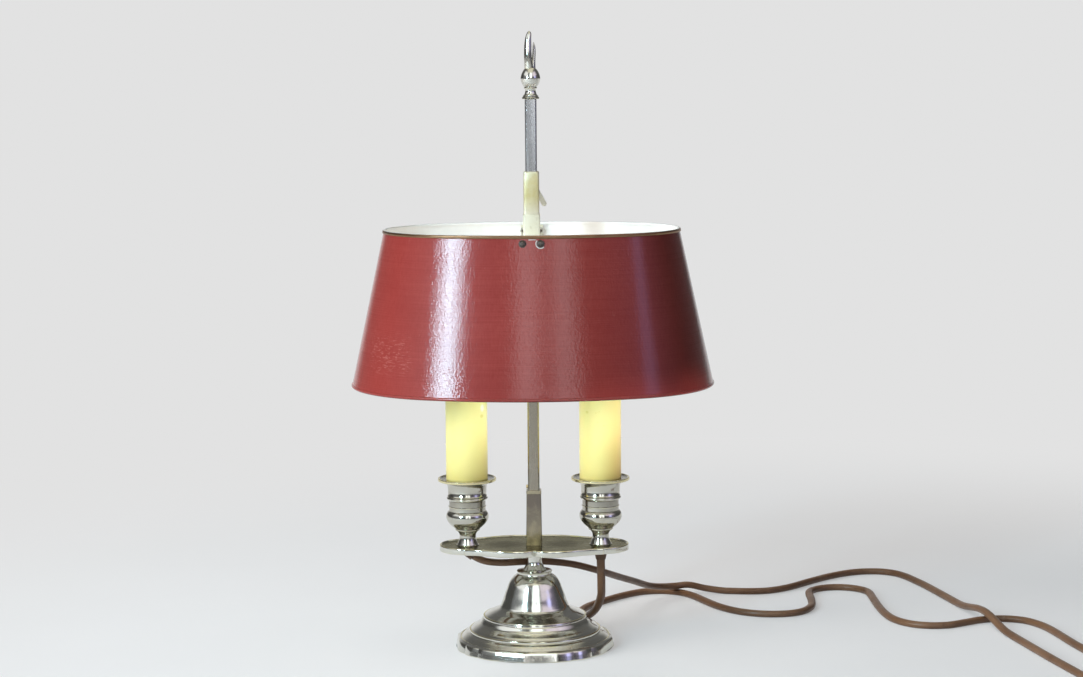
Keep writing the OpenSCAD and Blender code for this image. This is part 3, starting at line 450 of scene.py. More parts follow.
def plastic(name, stops, rough, scale=30, bump=0.12, coat=0.0, fine=500, metallic=0.0):
    m, g, b, v = new_mat(name)
    grain = g.noise(v, fine, 3, 0.6)
    g.fill(b, {
        "Base Color": g.ramp(g.noise(v, scale, 5, 0.6, 0.3), stops),
        "Metallic": metallic,
        "Roughness": g.remap(grain, 0.3, 0.7, rough * 0.85, rough * 1.15),
        "Normal": g.bump(grain, bump, 0.0003)})
    if coat:
        g.fill(b, {"Coat Weight": coat, "Coat Roughness": 0.12})
    return m


def candle():
    m, g, b, v = new_mat("cream_plastic")
    x, y, z = g.sep(v)
    tone = g.noise(v, 12, 3, 0.5, 0.3)
    col = g.ramp(tone, [(0.3, (0.95, 0.88, 0.335)), (0.55, (0.96, 0.905, 0.375)), (0.8, (0.95, 0.89, 0.355))])
    # painted shade: the plastic is painted warmer and darker low down, and along the right-hand side of the
    # right-hand candle, where light shining through it from the left looks orange
    col = g.mix(g.remap(z, 0.21, 0.148, 0, 0.65), col, (0.92, 0.70, 0.22))
    right = g.mul(g.remap(x, 0.058, 0.075, 0, 0.75), g.remap(z, 0.25, 0.16, 0.4, 1))
    col = g.mix(right, col, (0.92, 0.60, 0.19))
    col = g.mix(g.remap(g.noise(v, 240, 2, 0.4), 0.72, 0.78, 0, 0.35), col, (0.84, 0.74, 0.24))
    # near the top, a pale drip over a dull mark on the left one and a dull mark on the right one
    front = g.remap(y, 0.0, -0.005)
    for at_x, at_z, tall, colour in ((-0.0437, 0.2105, 2.4, (0.97, 0.96, 0.86)),
                                     (-0.0442, 0.2035, 1.2, (0.80, 0.74, 0.22)),
                                     (0.0462, 0.2065, 1.0, (0.82, 0.76, 0.24))):
        away = g.length(g.sub(x, at_x), g.math("DIVIDE", g.sub(z, at_z), tall))
        mark = g.mul(g.remap(g.add(away, g.mul(tone, 0.001)), 0.0022, 0.0014, 0, 0.85), front)
        col = g.mix(mark, col, colour)
    # darker in a thin band just above the cup's lip
    lip_band_dark = g.remap(g.add(z, g.mul(tone, 0.002)), 0.1500, 0.1480, 0, 0.4)
    lines = g.noise(g.coords((1, 1, 0.05)), 260, 2, 0.5)
    g.fill(b, {
        "Base Color": g.mix(lip_band_dark, col, (0.36, 0.27, 0.12)),
        "Subsurface Weight": 0.15,
        "Subsurface Radius": (0.005, 0.003, 0.0015),
        "Subsurface Scale": 1.0,
        "Roughness": g.remap(g.noise(v, 60, 3), 0.3, 0.7, 0.30, 0.42),
        "Normal": g.bump(g.add(lines, g.noise(v, 90, 2)), 0.10, 0.0005)})
    return m


def flex_sheath():
    """The flexes' brown sheath, with pale dust and darker dirt on it."""
    m, g, b, v = new_mat("brown_flex")
    col = g.ramp(g.noise(v, 16, 4, 0.6, 0.4), [(0.3, (0.14, 0.066, 0.030)), (0.5, (0.205, 0.102, 0.050)),
                                               (0.72, (0.27, 0.145, 0.077))])
    dust = g.remap(g.noise(v, 42, 3, 0.6), 0.62, 0.74, 0, 0.55)
    dirt = g.remap(g.noise(v, 60, 3, 0.65, 0.5), 0.64, 0.76, 0, 0.5)
    g.fill(b, {
        "Base Color": g.mix(dirt, g.mix(dust, col, (0.33, 0.235, 0.165)), (0.075, 0.035, 0.018)),
        "Roughness": g.remap(g.noise(v, 90, 3), 0.3, 0.7, 0.36, 0.52),
        "Coat Weight": 0.15,
        "Coat Roughness": 0.25,
        "Normal": g.bump(g.add(g.noise(v, 700, 3), g.noise(v, 70, 2)), 0.12, 0.0005)})
    return m


def felt():
    m, g, b, v = new_mat("green_felt")
    fibres = g.noise(g.coords((1, 2.2, 1)), 900, 4, 0.7, 0.8)
    g.fill(b, {
        "Base Color": g.ramp(g.add(g.mul(fibres, 0.7), g.mul(g.noise(v, 60, 3), 0.3)),
                             [(0.3, (0.012, 0.055, 0.022)), (0.7, (0.045, 0.15, 0.065))]),
        "Roughness": 0.95,
        "Sheen Weight": 0.5,
        "Sheen Roughness": 0.5,
        "Normal": g.bump(fibres, 0.8, 0.0008)})
    return m


def glass():
    m, g, b, v = new_mat("bulb_glass")
    g.fill(b, {
        "Base Color": g.ramp(g.noise(v, 40, 3), [(0.3, (0.90, 0.89, 0.86)), (0.7, (0.95, 0.95, 0.93))]),
        "Roughness": 0.32,
        "Transmission Weight": 0.35,
        "IOR": 1.45,
        "Normal": g.bump(g.noise(v, 1500, 2), 0.2, 0.0002)})
    return m


TRAY, LACQUER, INSIDE, CANDLE = tray_plate(), lacquer(), white_paint(), candle()
SHEATH, FELT, GLASS = flex_sheath(), felt(), glass()
PLUG = plastic("brown_plastic", [(0.3, (0.085, 0.036, 0.018)), (0.7, (0.13, 0.058, 0.028))], 0.36, coat=0.2)
BUSH = plastic("bush_plastic", [(0.3, (0.12, 0.058, 0.028)), (0.7, (0.18, 0.09, 0.045))], 0.42)
PORCELAIN = plastic("porcelain", [(0.3, (0.78, 0.75, 0.68)), (0.7, (0.86, 0.84, 0.79))], 0.2,
                    scale=20, coat=0.5, bump=0.05)
IRON = plastic("cast_weight", [(0.3, (0.045, 0.043, 0.042)), (0.7, (0.085, 0.08, 0.075))], 0.7,
               scale=60, bump=0.6, fine=250, metallic=0.7)

# ------------------------------------------------------------------ flexes
FLEX_W, FLEX_T = 7.2, 6.0
FLEX_Z = FLEX_T / 2
# where the flexes run, as in part.scad; a point without a height lies on the table
PATH_LEFT = [
    (-53.4, 0, 79.4), (-48, 1, 76.1), (-40, 3, 73.3), (-27.7, 8, 71.3), (-9.7, 15.5, 70.5),
    (10.5, 22.9, 69), (34.4, 38, 63), (58.3, 58.1, 52.5), (76.2, 93.4, 39.5), (92.1, 130.9, 27),
    (106, 160.4, 16.5), (119, 179.9, 11.2), (132.9, 189.4, 9.6), (145.9, 194.3, 9.4), (162.8, 197.3, 5.2),
    (181.6, 195.7), (203.5, 192.9), (223.4, 196.2), (243.3, 210.4), (263.1, 232.6), (283, 253.8),
    (302.9, 270), (320.7, 277.7), (337.5, 277.6), (351.4, 269.1), (360.3, 253.9), (366.2, 235.8),
    (374.1, 208.6), (385.9, 158.5), (393.8, 122.4, 3.9), (401.7, 84.2, 9.5), (406.6, 60.2, 9.5),
    (413.4, 26.3, 4), (419.3, -1.7), (435.1, -75.8), (449.8, -138.8), (452.4, -159.8)]
PATH_RIGHT = [
    (57.7, 0, 75.5), (57.9, 1.4, 65), (58.2, 6, 52), (58, 16, 38.5), (54.1, 30.3, 25), (48, 48.6, 14.5),
    (42, 72.8, 6.2), (40, 102.8), (48, 132.6), (66, 158.9), (84, 180.2), (102, 194.6), (119.9, 197.9),
    (135.9, 191.3), (147.8, 176.9), (158.7, 152.6), (170.6, 128.2), (185.5, 109.8), (204.4, 99.1),
    (225.3, 97.4), (243.2, 105.8), (254.1, 125.3), (257.6, 151.1), (258.4, 179.3), (260.6, 190.2),
    (266.8, 199.5), (276.1, 205.7), (287, 207.9), (297.9, 205.7), (307.2, 199.5), (313.4, 190.2),
    (315.6, 179.3), (316, 153), (316.6, 125.1), (318.5, 97.2), (323.5, 73.1), (334.4, 55.8), (350.2, 47.4),
    (368, 48.2), (383.8, 57.1), (398.7, 66.6), (413.5, 71.4), (427.3, 70.4), (440.1, 63.2), (449, 48.9),
    (455.9, 26.9), (464.7, -23.1), (470.6, -51.1), (472.2, -65)]
COIL_LEFT, COIL_RIGHT = (494.8, -173.6), (514.6, -77)
COIL_OUT, COIL_IN = 42.4, 35.2
# a coil in degrees: its whole sweep, and where it winds inwards, climbs on itself and winds out again
SWEEP, INWARDS, UPWARDS, OUTWARDS = 1160, (285, 355), (585, 655), (885, 955)
COIL_STEP = 5
TAIL, PLUG_Z = 30, 6.8
RIBS = 7


def coil_points(at):
    """Two layers of turns, then a straight tail that comes down to the plug's middle."""
    out = []
    for a in range(4 * COIL_STEP, SWEEP, COIL_STEP):
        r = COIL_OUT - (COIL_OUT - COIL_IN) * (ease(a, *INWARDS) - ease(a, *OUTWARDS))
        out.append((*polar(r, 180 + a, at), FLEX_Z + FLEX_T * ease(a, *UPWARDS)))
    upper = FLEX_Z + FLEX_T
    for t in (0.0, 0.25, 0.5, 0.75, 1.0):
        out.append((at[0] + TAIL * t, at[1] - COIL_OUT, upper + (PLUG_Z - upper) * smooth_step(t)))
    return out


def make_flex(side, points, at, plug):
    """A flat flex along its points and round its coil, with its broad side level."""
    route = curve([(*p, FLEX_Z) if len(p) == 2 else p for p in points], 8) + coil_points(at)
    path = [(x, y, max(z, FLEX_Z)) for x, y, z in route]
    last = len(path) - 1
    turns = [2 * pi * k / 20 for k in range(20)]
    rings = []
    for i, p in enumerate(path):
        ahead = (Vector(path[min(i + 1, last)]) - Vector(path[max(i - 1, 0)])).normalized()
        across = ahead.cross(Vector((0, 0, 1))).normalized()
        up = across.cross(ahead).normalized()
        # slightly squarer than an ellipse, as a flat sheath over two cores is
        rings.append([tuple(Vector(p) + across * (squared(cos(t), 0.86) * FLEX_W / 2)
                            + up * (squared(sin(t), 0.86) * FLEX_T / 2)) for t in turns])
    ob = obj_from("flex_" + side, *skin_rings(rings), SHEATH, sharp=60)
    place(ob, "lamp_body", "brown_flex", "cord_" + side, "coil_" + side)


def make_plug(side, at):
    """A flat two-pin plug: a ribbed, tapered relief that widens into a body with a softly rounded face."""
    turns = [2 * pi * k / 48 for k in range(48)]
    # distances along the plug with its width, height and squareness there
    parts = [(0, 7.6, 6.8, 1.0), (0.3, 8.6, 8.0, 1.0)]
    for i in range(RIBS):
        for share, cut in ((0.05, 0.0), (0.55, 0.0), (0.62, 0.9), (0.93, 0.9)):
            x = 0.6 + (i + share) * 22.6 / RIBS
            d = 8.4 + 3.6 * x / 24 - cut
            parts.append((x, d, d, 1.0))
    parts += [(24, 12.6, 11.2, 0.95), (26, 15.5, 11.8, 0.85), (29, 24, 12.6, 0.7), (32, 31.5, 13.2, 0.62),
              (35, 34.4, 13.5, 0.58), (40, 35, 13.6, 0.55), (50, 35, 13.6, 0.55), (57.5, 34.6, 13.5, 0.55),
              (59.4, 33.8, 12.9, 0.57), (60, 32.6, 11.9, 0.6)]
    rings = [[(at[0] + TAIL + x, at[1] - COIL_OUT + squared(cos(t), power) * w / 2,
               PLUG_Z + squared(sin(t), power) * h / 2) for t in turns] for x, w, h, power in parts]
    ob = obj_from("plug_body_" + side, *skin_rings(rings), PLUG, sharp=50)
    return place(ob, "lamp_body", "brown_plastic", "plug_" + side)


for side, points, at in (("left", PATH_LEFT, COIL_LEFT), ("right", PATH_RIGHT, COIL_RIGHT)):
    make_flex(side, points, at, make_plug(side, at))

# ------------------------------------------------------------------ foot
LOBE_RISE, LOBE_DIP, RIM_TURN = 1.3, 1.1, -8
# in each quarter of the rim, in degrees: a hollow curve, three lobes and a hollow curve
MARKS = [0, 22, 37, 53, 68, 90]
BULGE = [-LOBE_DIP, LOBE_RISE / 2, LOBE_RISE, LOBE_RISE / 2, -LOBE_DIP]


def rim_bulge(deg):
    """How far the rim stands outside its plain circle, or inside it where this is negative."""
    q = (deg - RIM_TURN) % 90
    k = max(i for i in range(5) if MARKS[i] <= q)
    u = (q - MARKS[k]) / (MARKS[k + 1] - MARKS[k])
    return BULGE[k] * 4 * u * (1 - u)


def make_foot():
    # fine steps round the foot, with the marks themselves kept so that their edges stay crisp
    marks = {float((q * 90 + m + RIM_TURN) % 360) for q in range(4) for m in MARKS[:-1]}
    angles = sorted(marks | {float(a) for a in range(360)})
    n = len(angles)
    # the return to the felt and all above the rim are plain circles of a radius and a height
    under = [(63.3, 2.6), (63.3, 0.6), (64.0, 0.6)]
    # each point of the rim has a radius, a share of the lobes' bulge and a height
    rim = [(68.5, 0.0, 0.6), (69.1, 1.0, 0.6), (69.2, 1.0, 1.0), (69.12, 1.0, 1.4), (68.5, 1.0, 4.5),
           (67.85, 1.0, 7.7), (67.6, 1.0, 8.1), (67.2, 0.9, 8.4), (66.7, 0.5, 8.55), (66.0, 0.2, 8.75)]
    lips = [(64.8, 9.35), (64.3, 9.3), (56.9, 15.5), (56.4, 15.75), (44.6, 27.5), (44.0, 27.75)]
    steps = ([(65.2, 9.15), *lips[0:2], (63.9, 9.15)]
             + curve([(63.7, 9.3), (62.2, 10.6), (60.2, 12.2), (58.0, 13.3), (57.2, 13.9)], 4)
             + [(57.0, 14.2), (57.1, 14.9), *lips[2:4], (55.7, 15.7)]
             + curve([(55.3, 15.9), (53.5, 17.6), (50.5, 19.4), (47.6, 21.6), (45.8, 24.6), (45.0, 25.6)], 5)
             + [(44.9, 26.0), (44.95, 26.8), *lips[4:6], (43.3, 27.7)])
    bell = (curve([(42.9, 27.95), (37.6, 30.7), (34.4, 32.1), (31.5, 33.7), (29.9, 35.4), (28.9, 37.6),
                   (27.7, 40.8), (26.3, 45.0), (24.4, 50.0), (22.5, 54.8), (20.6, 58.2), (18.6, 60.6),
                   (16.6, 62.2)], 6)
            + [(15.7, 62.8), (15.15, 63.4), (14.95, 64.0), (14.95, 65.0), (15.1, 65.4), (15.35, 65.6),
               (15.4, 65.9), (15.2, 66.2), (14.6, 66.3), (9.0, 66.3)])
    profile = [(r, 0, z) for r, z in under] + rim + [(r, 0, z) for r, z in steps + bell]
    rings = [[(*polar(r + rim_bulge(a) * share, a), z) for a in angles] for r, share, z in profile]
    # the tier edges in lips get the worn plating with its painted warm highlight
    finish = [1 if (r, z) in lips else 0 for r, _, z in profile[:-1] for _ in angles]
    ob = obj_from("foot_shell", *skin_rings(rings, cap=False), [SILVER, SILVER_WORN_LIT_LIP], finish, sharp=38)
    # keep the rim's upright edges crisp at the marks
    crisp = {i for i, a in enumerate(angles) if a in marks}
    lowest, highest = len(under) + 1, len(under) + 6
    for e in ob.data.edges:
        (row_a, i), (row_b, j) = (divmod(k, n) for k in e.vertices)
        if i == j and i in crisp and lowest <= min(row_a, row_b) and max(row_a, row_b) <= highest:
            e.use_edge_sharp = True
    place(ob, "lamp_body", "silver_plate", "base_shell")


def make_neck():
    waist = curve([(9.5, 67.7), (8.6, 68.9), (7.7, 70.6), (7.0, 72.8), (6.7, 75.4), (6.75, 78.4),
                   (6.95, 81.6), (7.4, 85.4)], 5)
    neck = ([(3.1, 66.3), (10.0, 66.3), (10.2, 66.55), (10.2, 67.05), (9.9, 67.4)] + waist
            + [(7.5, 86.2), (7.5, 87.0), (3.1, 87.0)])
    ob = obj_from("neck_turned", *lathe(neck, segs=96, loop=True), SILVER)
    place(ob, "lamp_body", "silver_plate", "stem_neck")


make_foot()
make_neck()

# ------------------------------------------------------------------ tray
CUP_X, LOBE_R, HALF_W = 57.7, 24.3, 37.8


def panel_outline(inset):
    """The tray's outline between its two round ends: one quarter is drawn and mirrored twice."""
    q = curve([(1.04 * CUP_X - inset, LOBE_R + 1.7 - inset), (0.867 * CUP_X - inset, HALF_W - 10.2 - inset),
               (0.693 * CUP_X, HALF_W - 6.6 - inset), (0.52 * CUP_X, HALF_W - 2.2 - inset),
               (0.347 * CUP_X, HALF_W - 0.2 - inset), (0.19 * CUP_X, HALF_W - inset),
               (0.078 * CUP_X, HALF_W - 1.6 - inset), (0, HALF_W - 5 - inset)], 8)
    half = q + [(-x, y) for x, y in reversed(q[:-1])]
    return half + [(x, -y) for x, y in reversed(half)]


def tray_ray(deg, inset, panel):
    """How far the tray's edge is from its middle in one direction: the fuller of its panel and its lobes."""
    c, s = polar(1, deg)
    best = 0.0
    for (x1, y1), (x2, y2) in zip(panel, panel[1:] + panel[:1]):
        det = (x2 - x1) * s - (y2 - y1) * c
        if abs(det) < 1e-9:
            continue
        t = ((x2 - x1) * y1 - (y2 - y1) * x1) / det
        u = (c * y1 - s * x1) / det
        if -1e-9 <= u <= 1 + 1e-9:
            best = max(best, t)
    for cx in (-CUP_X, CUP_X):
        half_b = cx * c
        disc = half_b * half_b - (cx * cx - (LOBE_R - inset) ** 2)
        if disc > 0:
            best = max(best, half_b + sqrt(disc))
    return best


def make_tray():
    angles = list(range(360)) + [base + k / 2 for base in (90, 270) for k in range(-29, 30, 2)]
    # closer together where the panel meets a lobe
    corner, notch = (degrees(atan2(LOBE_R + y, CUP_X + 2.3)) for y in (1.7, -0.1))
    near = (corner, corner - 0.4, corner + 0.4, notch, notch - 0.3, notch + 0.3)
    angles += [(base + side * a) % 360 for base in (0, 180) for side in (-1, 1) for a in near]
    angles = sorted({round(a, 3) for a in angles})
    # distance in from the edge, and height
    prof = [(2.0, 87.0), (2.0, 85.0), (1.8, 84.65), (0.5, 84.6), (0.12, 84.75), (0.0, 85.1), (0.0, 87.2),
            (0.0, 89.1), (0.12, 89.6), (0.4, 89.9), (0.8, 90.0), (1.15, 89.85), (1.4, 89.45), (1.6, 89.15),
            (2.1, 89.0), (4.5, 89.0)]
    rings = []
    for inset, z in prof:
        panel = panel_outline(inset)
        rings.append([(*polar(tray_ray(a, inset, panel), a), z) for a in angles])
    # the rim and the underside are polished, the rim's upper edge is worn and carries a painted warm
    # highlight, the flat inside is duller
    bands = [1] * 8 + [2] * 3 + [1] * 2 + [0] * 2
    finish = [k for k in bands for _ in angles] + [1, 0]
    ob = obj_from("tray_shaped", *skin_rings(rings), [TRAY, SILVER, SILVER_WORN_LIT_LIP], finish, sharp=50)
    place(ob, "lamp_body", "silver_plate", "tray")


make_tray()

# ------------------------------------------------------------------ cups, candles and bulbs
CUP_Z, CANDLE_Z, CANDLE_TOP, BULB_Z = 89.0, 147.2, 232.2, 229.4
CANDLE_R, CANDLE_WALL = 18.0, 1.5


def cup_profile():
    foot = ([(9.6, 0), (9.8, 0.15), (9.8, 0.45), (9.5, 0.65)],
            [(9.0, 0.85), (8.2, 3.0), (7.35, 5.6), (7.1, 8.4), (7.6, 10.4), (8.7, 12.0), (9.7, 13.1)])
    bowl = ([(10.5, 13.3), (10.75, 13.7), (10.7, 14.4), (10.2, 14.8)],
            [(11.3, 15.0), (13.1, 16.6), (15.4, 18.8), (17.4, 21.4), (18.3, 24.0), (18.4, 26.0), (17.9, 28.2),
             (16.9, 29.8), (16.3, 30.3)])
    band = ([(15.85, 30.5), (15.8, 31.0), (15.8, 33.5), (16.25, 33.7), (16.35, 34.2), (16.25, 34.7),
             (15.8, 34.9), (15.8, 39.4)],
            [(16.3, 39.7), (17.3, 40.6), (17.85, 41.6), (17.3, 42.6), (16.6, 43.2)])
    flare = ([(16.9, 43.4), (17.2, 43.8), (16.9, 44.3), (16.7, 44.6), (16.7, 48.5)],
             [(16.8, 50.2), (17.2, 52.6), (18.6, 54.6), (21.0, 55.8), (24.6, 56.5)])
    lip = [(25.2, 56.9), (25.35, 57.8), (25.2, 58.8), (24.8, 59.15), (24.2, 59.2), (23.6, 58.95),
           (23.1, 58.5), (22.0, 58.25), (18.3, 58.2), (14.7, 58.2)]
    bore = [(14.7, 24.0), (5.1, 24.0), (5.1, 0)]
    out = []
    for (corners, bends), steps in ((foot, 5), (bowl, 5), (band, 4), (flare, 5)):
        out += raised(corners, CUP_Z) + curve(raised(bends, CUP_Z), steps)
    return out + raised(lip + bore, CUP_Z)


def cup_finish(r, height):
    """The third material, dull, in the dish, the second, worn plating with a painted warm highlight, on the
    lip, and the first everywhere else.
    """
    if height > 58.0 and 18.2 < r < 23.4:
        return 2
    return 1 if (height > 58.4 and r > 23.4) or (height > 56.8 and r > 24.9) else 0


def candle_profile():
    r, w, z, top = CANDLE_R, CANDLE_WALL, CANDLE_Z, CANDLE_TOP
    return [(r - w, z), (r - 0.3, z), (r, z + 0.4), (r, z + 12), (r, z + 40), (r, top - 14), (r, top - 1.0),
            (r - 0.3, top - 0.25), (r - 0.8, top), (r - w + 0.1, top - 0.2), (r - w, top - 0.8),
            (r - w, z + 40)]


def bulb_profile():
    sides = [(10.6, 0), (11.0, 2.4), (12.4, 6.5), (15.6, 14), (17.3, 23), (17.2, 30), (15.6, 38), (12.4, 47),
             (8.6, 56.5), (5.2, 64.5), (2.6, 70.5), (1.1, 73.4), (0.0, 74.0)]
    return [(0.0, BULB_Z)] + curve(raised(sides, BULB_Z), 5)[:-1] + raised(sides[-1:], BULB_Z)


def make_candle_light(side, at):
    verts, faces = lathe(cup_profile(), at, 112, loop=True)
    finish = []
    for q in faces:
        r = sum(sqrt((verts[i][0] - at[0]) ** 2 + verts[i][1] ** 2) for i in q) / len(q)
        finish.append(cup_finish(r, sum(verts[i][2] for i in q) / len(q) - CUP_Z))
    cup = obj_from("cup_turned_" + side, verts, faces, [CUP_PLATE, SILVER_WORN_LIT_LIP, CUP_DISH], finish)
    tube = obj_from("candle_tube_" + side, *lathe(candle_profile(), at, 112, loop=True), CANDLE, sharp=50)
    bulb = obj_from("bulb_" + side, *lathe(bulb_profile(), at, 64), GLASS, sharp=60)
    place(cup, "lamp_body", "silver_plate", "cup_" + side)
    place(tube, "lamp_body", "cream_plastic", "candle_sleeve_" + side)
    place(bulb, "lamp_body", "bulb_glass", "bulb_glass_" + side)


make_candle_light("left", (-CUP_X, 0))
make_candle_light("right", (CUP_X, 0))

# ------------------------------------------------------------------ finial
ROD_TOP, URN_H = 474.0, 26.5


def make_urn():
    flange = [(0, 0), (7.1, 0), (7.4, 0.3), (7.4, 1.3), (7.1, 1.7), (6.6, 1.9), (6.6, 2.7), (6.3, 3.0)]
    waist = [(5.9, 3.3), (5.0, 4.8), (4.5, 6.9), (4.9, 8.5)]
    ring = [(5.5, 8.8), (5.75, 9.3), (5.5, 9.9), (5.1, 10.2)]
    ball = [(5.7, 10.5), (7.4, 13.2), (8.4, 16.8), (8.2, 19.2), (7.3, 22.0), (5.8, 24.6), (4.2, 26.2)]
    urn = (raised(flange, ROD_TOP) + curve(raised(waist, ROD_TOP), 4) + raised(ring, ROD_TOP)
           + curve(raised(ball, ROD_TOP), 5) + raised([(2.0, URN_H), (0, URN_H)], ROD_TOP))
    ob = obj_from("finial_turned", *lathe(urn, segs=72), SILVER)
    place(ob, "lamp_body", "silver_plate", "finial_urn")


def tongue(knots):
    """One tongue of the flame, through knots of x, y, height, half width, half depth and hollow."""
    turns = [2 * pi * k / 28 for k in range(28)]
    # its right-hand side is pressed in, as a cast flame's hollows are
    return skin_rings([[(x + rx * cos(a) * (1 - hollow * max(0.0, cos(a)) ** 2), y + ry * sin(a),
                         ROD_TOP + URN_H + z) for a in turns] for x, y, z, rx, ry, hollow in curve(knots, 6)])


def make_flame():
    tall, tall_faces = tongue([(-1.0, -0.4, -0.8, 4.0, 4.2, 0), (-1.5, -1.4, 5.5, 3.7, 4.0, 0.1),
                               (-1.7, -1.9, 12.5, 3.6, 3.6, 0.2), (-1.6, -1.5, 19, 3.4, 3.2, 0.2),
                               (-1.3, -0.9, 25, 2.9, 2.7, 0.2), (-0.9, -0.3, 29, 1.9, 1.8, 0),
                               (-0.7, 0, 30.9, 0.5, 0.5, 0)])
    short, short_faces = tongue([(2.2, 1.6, -0.8, 2.3, 2.9, 0), (3.0, 2.5, 6, 1.8, 2.9, 0.2),
                                 (3.4, 2.9, 13, 1.6, 2.5, 0.2), (3.2, 2.8, 18, 1.1, 1.8, 0),
                                 (2.9, 2.5, 21.4, 0.3, 0.4, 0)])
    faces = tall_faces + [tuple(i + len(tall) for i in q) for q in short_faces]
    ob = obj_from("finial_tongues", tall + short, faces, SILVER, sharp=60)
    place(ob, "lamp_body", "silver_plate", "finial_flame")


make_urn()
make_flame()

# ------------------------------------------------------------------ shade
# its top edge is an oval of four tangent arcs, two round the ends and two along the sides
HALF_LENGTH, HALF_WIDTH, END_R = 126.5, 82.0, 72.0
FLARE, SHADE_H, WALL, TOP_Z = 28.5, 131.0, 0.8, 363.0
END_X = HALF_LENGTH - END_R
SIDE_R = (END_X ** 2 + HALF_WIDTH ** 2 - END_R ** 2) / (2 * (HALF_WIDTH - END_R))
SIDE_Y = SIDE_R - HALF_WIDTH
JOIN = degrees(atan2(SIDE_Y, END_X))
END_STEPS, SIDE_STEPS, SHADE_ROWS = 72, 30, 12


def oval_stations():
    """Each point of the oval as the middle of its arc, the arc's radius and an angle."""
    out = []
    for turn, start in ((1, 0), (-1, 180)):
        out += [(turn * END_X, 0, END_R, start - JOIN + 2 * JOIN * i / END_STEPS) for i in range(END_STEPS)]
        out += [(0, -turn * SIDE_Y, SIDE_R, start + JOIN + (180 - 2 * JOIN) * i / SIDE_STEPS)
                for i in range(SIDE_STEPS)]
    return out


STATIONS = oval_stations()


def sweep_oval(name, prof, mats, mat_of, sharp=35):
    """Sweeps a closed profile round the oval; its points are distances outside and above the top edge."""
    verts = [(*polar(r + off, a, (cx, cy)), TOP_Z + dz) for off, dz in prof for cx, cy, r, a in STATIONS]
    n, m = len(STATIONS), len(prof)
    faces, finish = [], []
    for k in range(m):
        for i in range(n):
            j = (i + 1) % n
            faces.append((k * n + i, k * n + j, (k + 1) % m * n + j, (k + 1) % m * n + i))
            finish.append(mat_of(k))
    return obj_from(name, verts, faces, mats, finish, sharp=sharp)


def make_shade():
    rows = range(SHADE_ROWS + 1)
    outer = [(FLARE * i / SHADE_ROWS, -SHADE_H * i / SHADE_ROWS) for i in rows]
    inner = [(r - WALL, z) for r, z in reversed(outer)]
    shell = sweep_oval("shade_panel", outer + inner, [LACQUER, INSIDE], lambda k: int(k > SHADE_ROWS))
    place(shell, "shade_carriage", "red_lacquer", "shade_shell")


def make_top_edge():
    """A strip bent over the edge. Its outer side is bare brass; its top and inside are painted."""
    edge = [(-0.9, 0.1), (0.1, 0.1), (0.50, -1.65), (0.62, -1.8), (1.05, -1.8), (1.24, -1.6), (0.90, 0.2),
            (0.75, 0.6), (0.42, 0.8), (-1.2, 0.8), (-1.6, 0.6), (-1.7, 0.2), (-1.7, -1.2), (-1.6, -1.44),
            (-1.0, -1.44), (-0.9, -1.3)]
    strip = sweep_oval("shade_edge_strip", edge, [EDGE_BRASS, INSIDE], lambda k: int(k >= 8), sharp=60)
    place(strip, "shade_carriage", "plain_brass", "shade_top_edge")


def make_bottom_rim():
    """The bottom is rolled round a wire: red over most of it, worn to brass underneath."""
    middle = (FLARE - WALL / 2, -SHADE_H - 1.375)
    bead = [polar(1.5, a, middle) for a in range(113, 428, 15)]
    rim = sweep_oval("shade_rolled_rim", bead, [LACQUER, EDGE_BRASS], lambda k: int(5 <= k <= 12), sharp=70)
    place(rim, "shade_carriage", "red_lacquer", "shade_bottom_rim")


make_shade()
make_top_edge()
make_bottom_rim()


# ------------------------------------------------------------------ other metal pieces
def softened(node, body, slot, material, width, segments=2):
    """A node's own solid with its edges rounded."""
    bm = bmesh.new()
    bm.from_mesh(NODES[node].data)
    bmesh.ops.remove_doubles(bm, verts=bm.verts, dist=1e-6)
    bmesh.ops.dissolve_limit(bm, angle_limit=radians(1.5), verts=bm.verts, edges=bm.edges)
    me = bpy.data.meshes.new(node + "_soft")
    bm.to_mesh(me)
    bm.free()
    me.materials.clear()
    me.materials.append(material)
    ob = bpy.data.objects.new(node + "_soft", me)
    scene.collection.objects.link(ob)
    mod = ob.modifiers.new("bevel", "BEVEL")
    mod.width = width
    mod.segments = segments
    mod.limit_method = "ANGLE"
    mod.angle_limit = radians(30)
    mod.harden_normals = True
    for p in me.polygons:
        p.use_smooth = True
    me.set_sharp_from_angle(angle=radians(45))
    place(ob, body, slot, node)


softened("rod_socket", "lamp_body", "silver_plate", SILVER_EDGE, 0.0004)
softened("lamp_rod", "lamp_body", "silver_plate", ROD, 0.0003)
softened("shade_sleeve", "shade_carriage", "plain_brass", SLEEVE, 0.0004)
softened("clamp_lever", "clamp", "plain_brass", LEVER, 0.0006, segments=3)
softened("shade_strap", "shade_carriage", "plain_brass", SLEEVE, 0.0004)

# nodes that keep their own shape and get a better material
FINISH = (
    (FELT, ["base_felt"]),
    (IRON, ["base_weight"]),
    (BRASS, ["base_washer", "base_nut", "stop_pin", "tray_lock_nuts", "cup_lock_nuts", "nipple_left",
             "nipple_right", "lampholder_left", "lampholder_right"]),
    (STEEL, ["tie_rod", "shade_nuts", "plug_pins_left", "plug_pins_right"]),
    (PORCELAIN, ["terminal_block_left", "terminal_block_right"]),
    (CAP, ["bulb_cap_left", "bulb_cap_right"]),
    (BUSH, ["cord_bush_left", "cord_bush_right"]),
    (DARK_STEEL, ["shade_screws"]),
    (SLEEVE, ["clamp_screw"]))
for material, nodes in FINISH:
    for node in nodes:
        NODES[node].data.materials.clear()
        NODES[node].data.materials.append(material)

# ------------------------------------------------------------------ floor and world
PALE = 0.76
ROOM_STRENGTH = 3.2


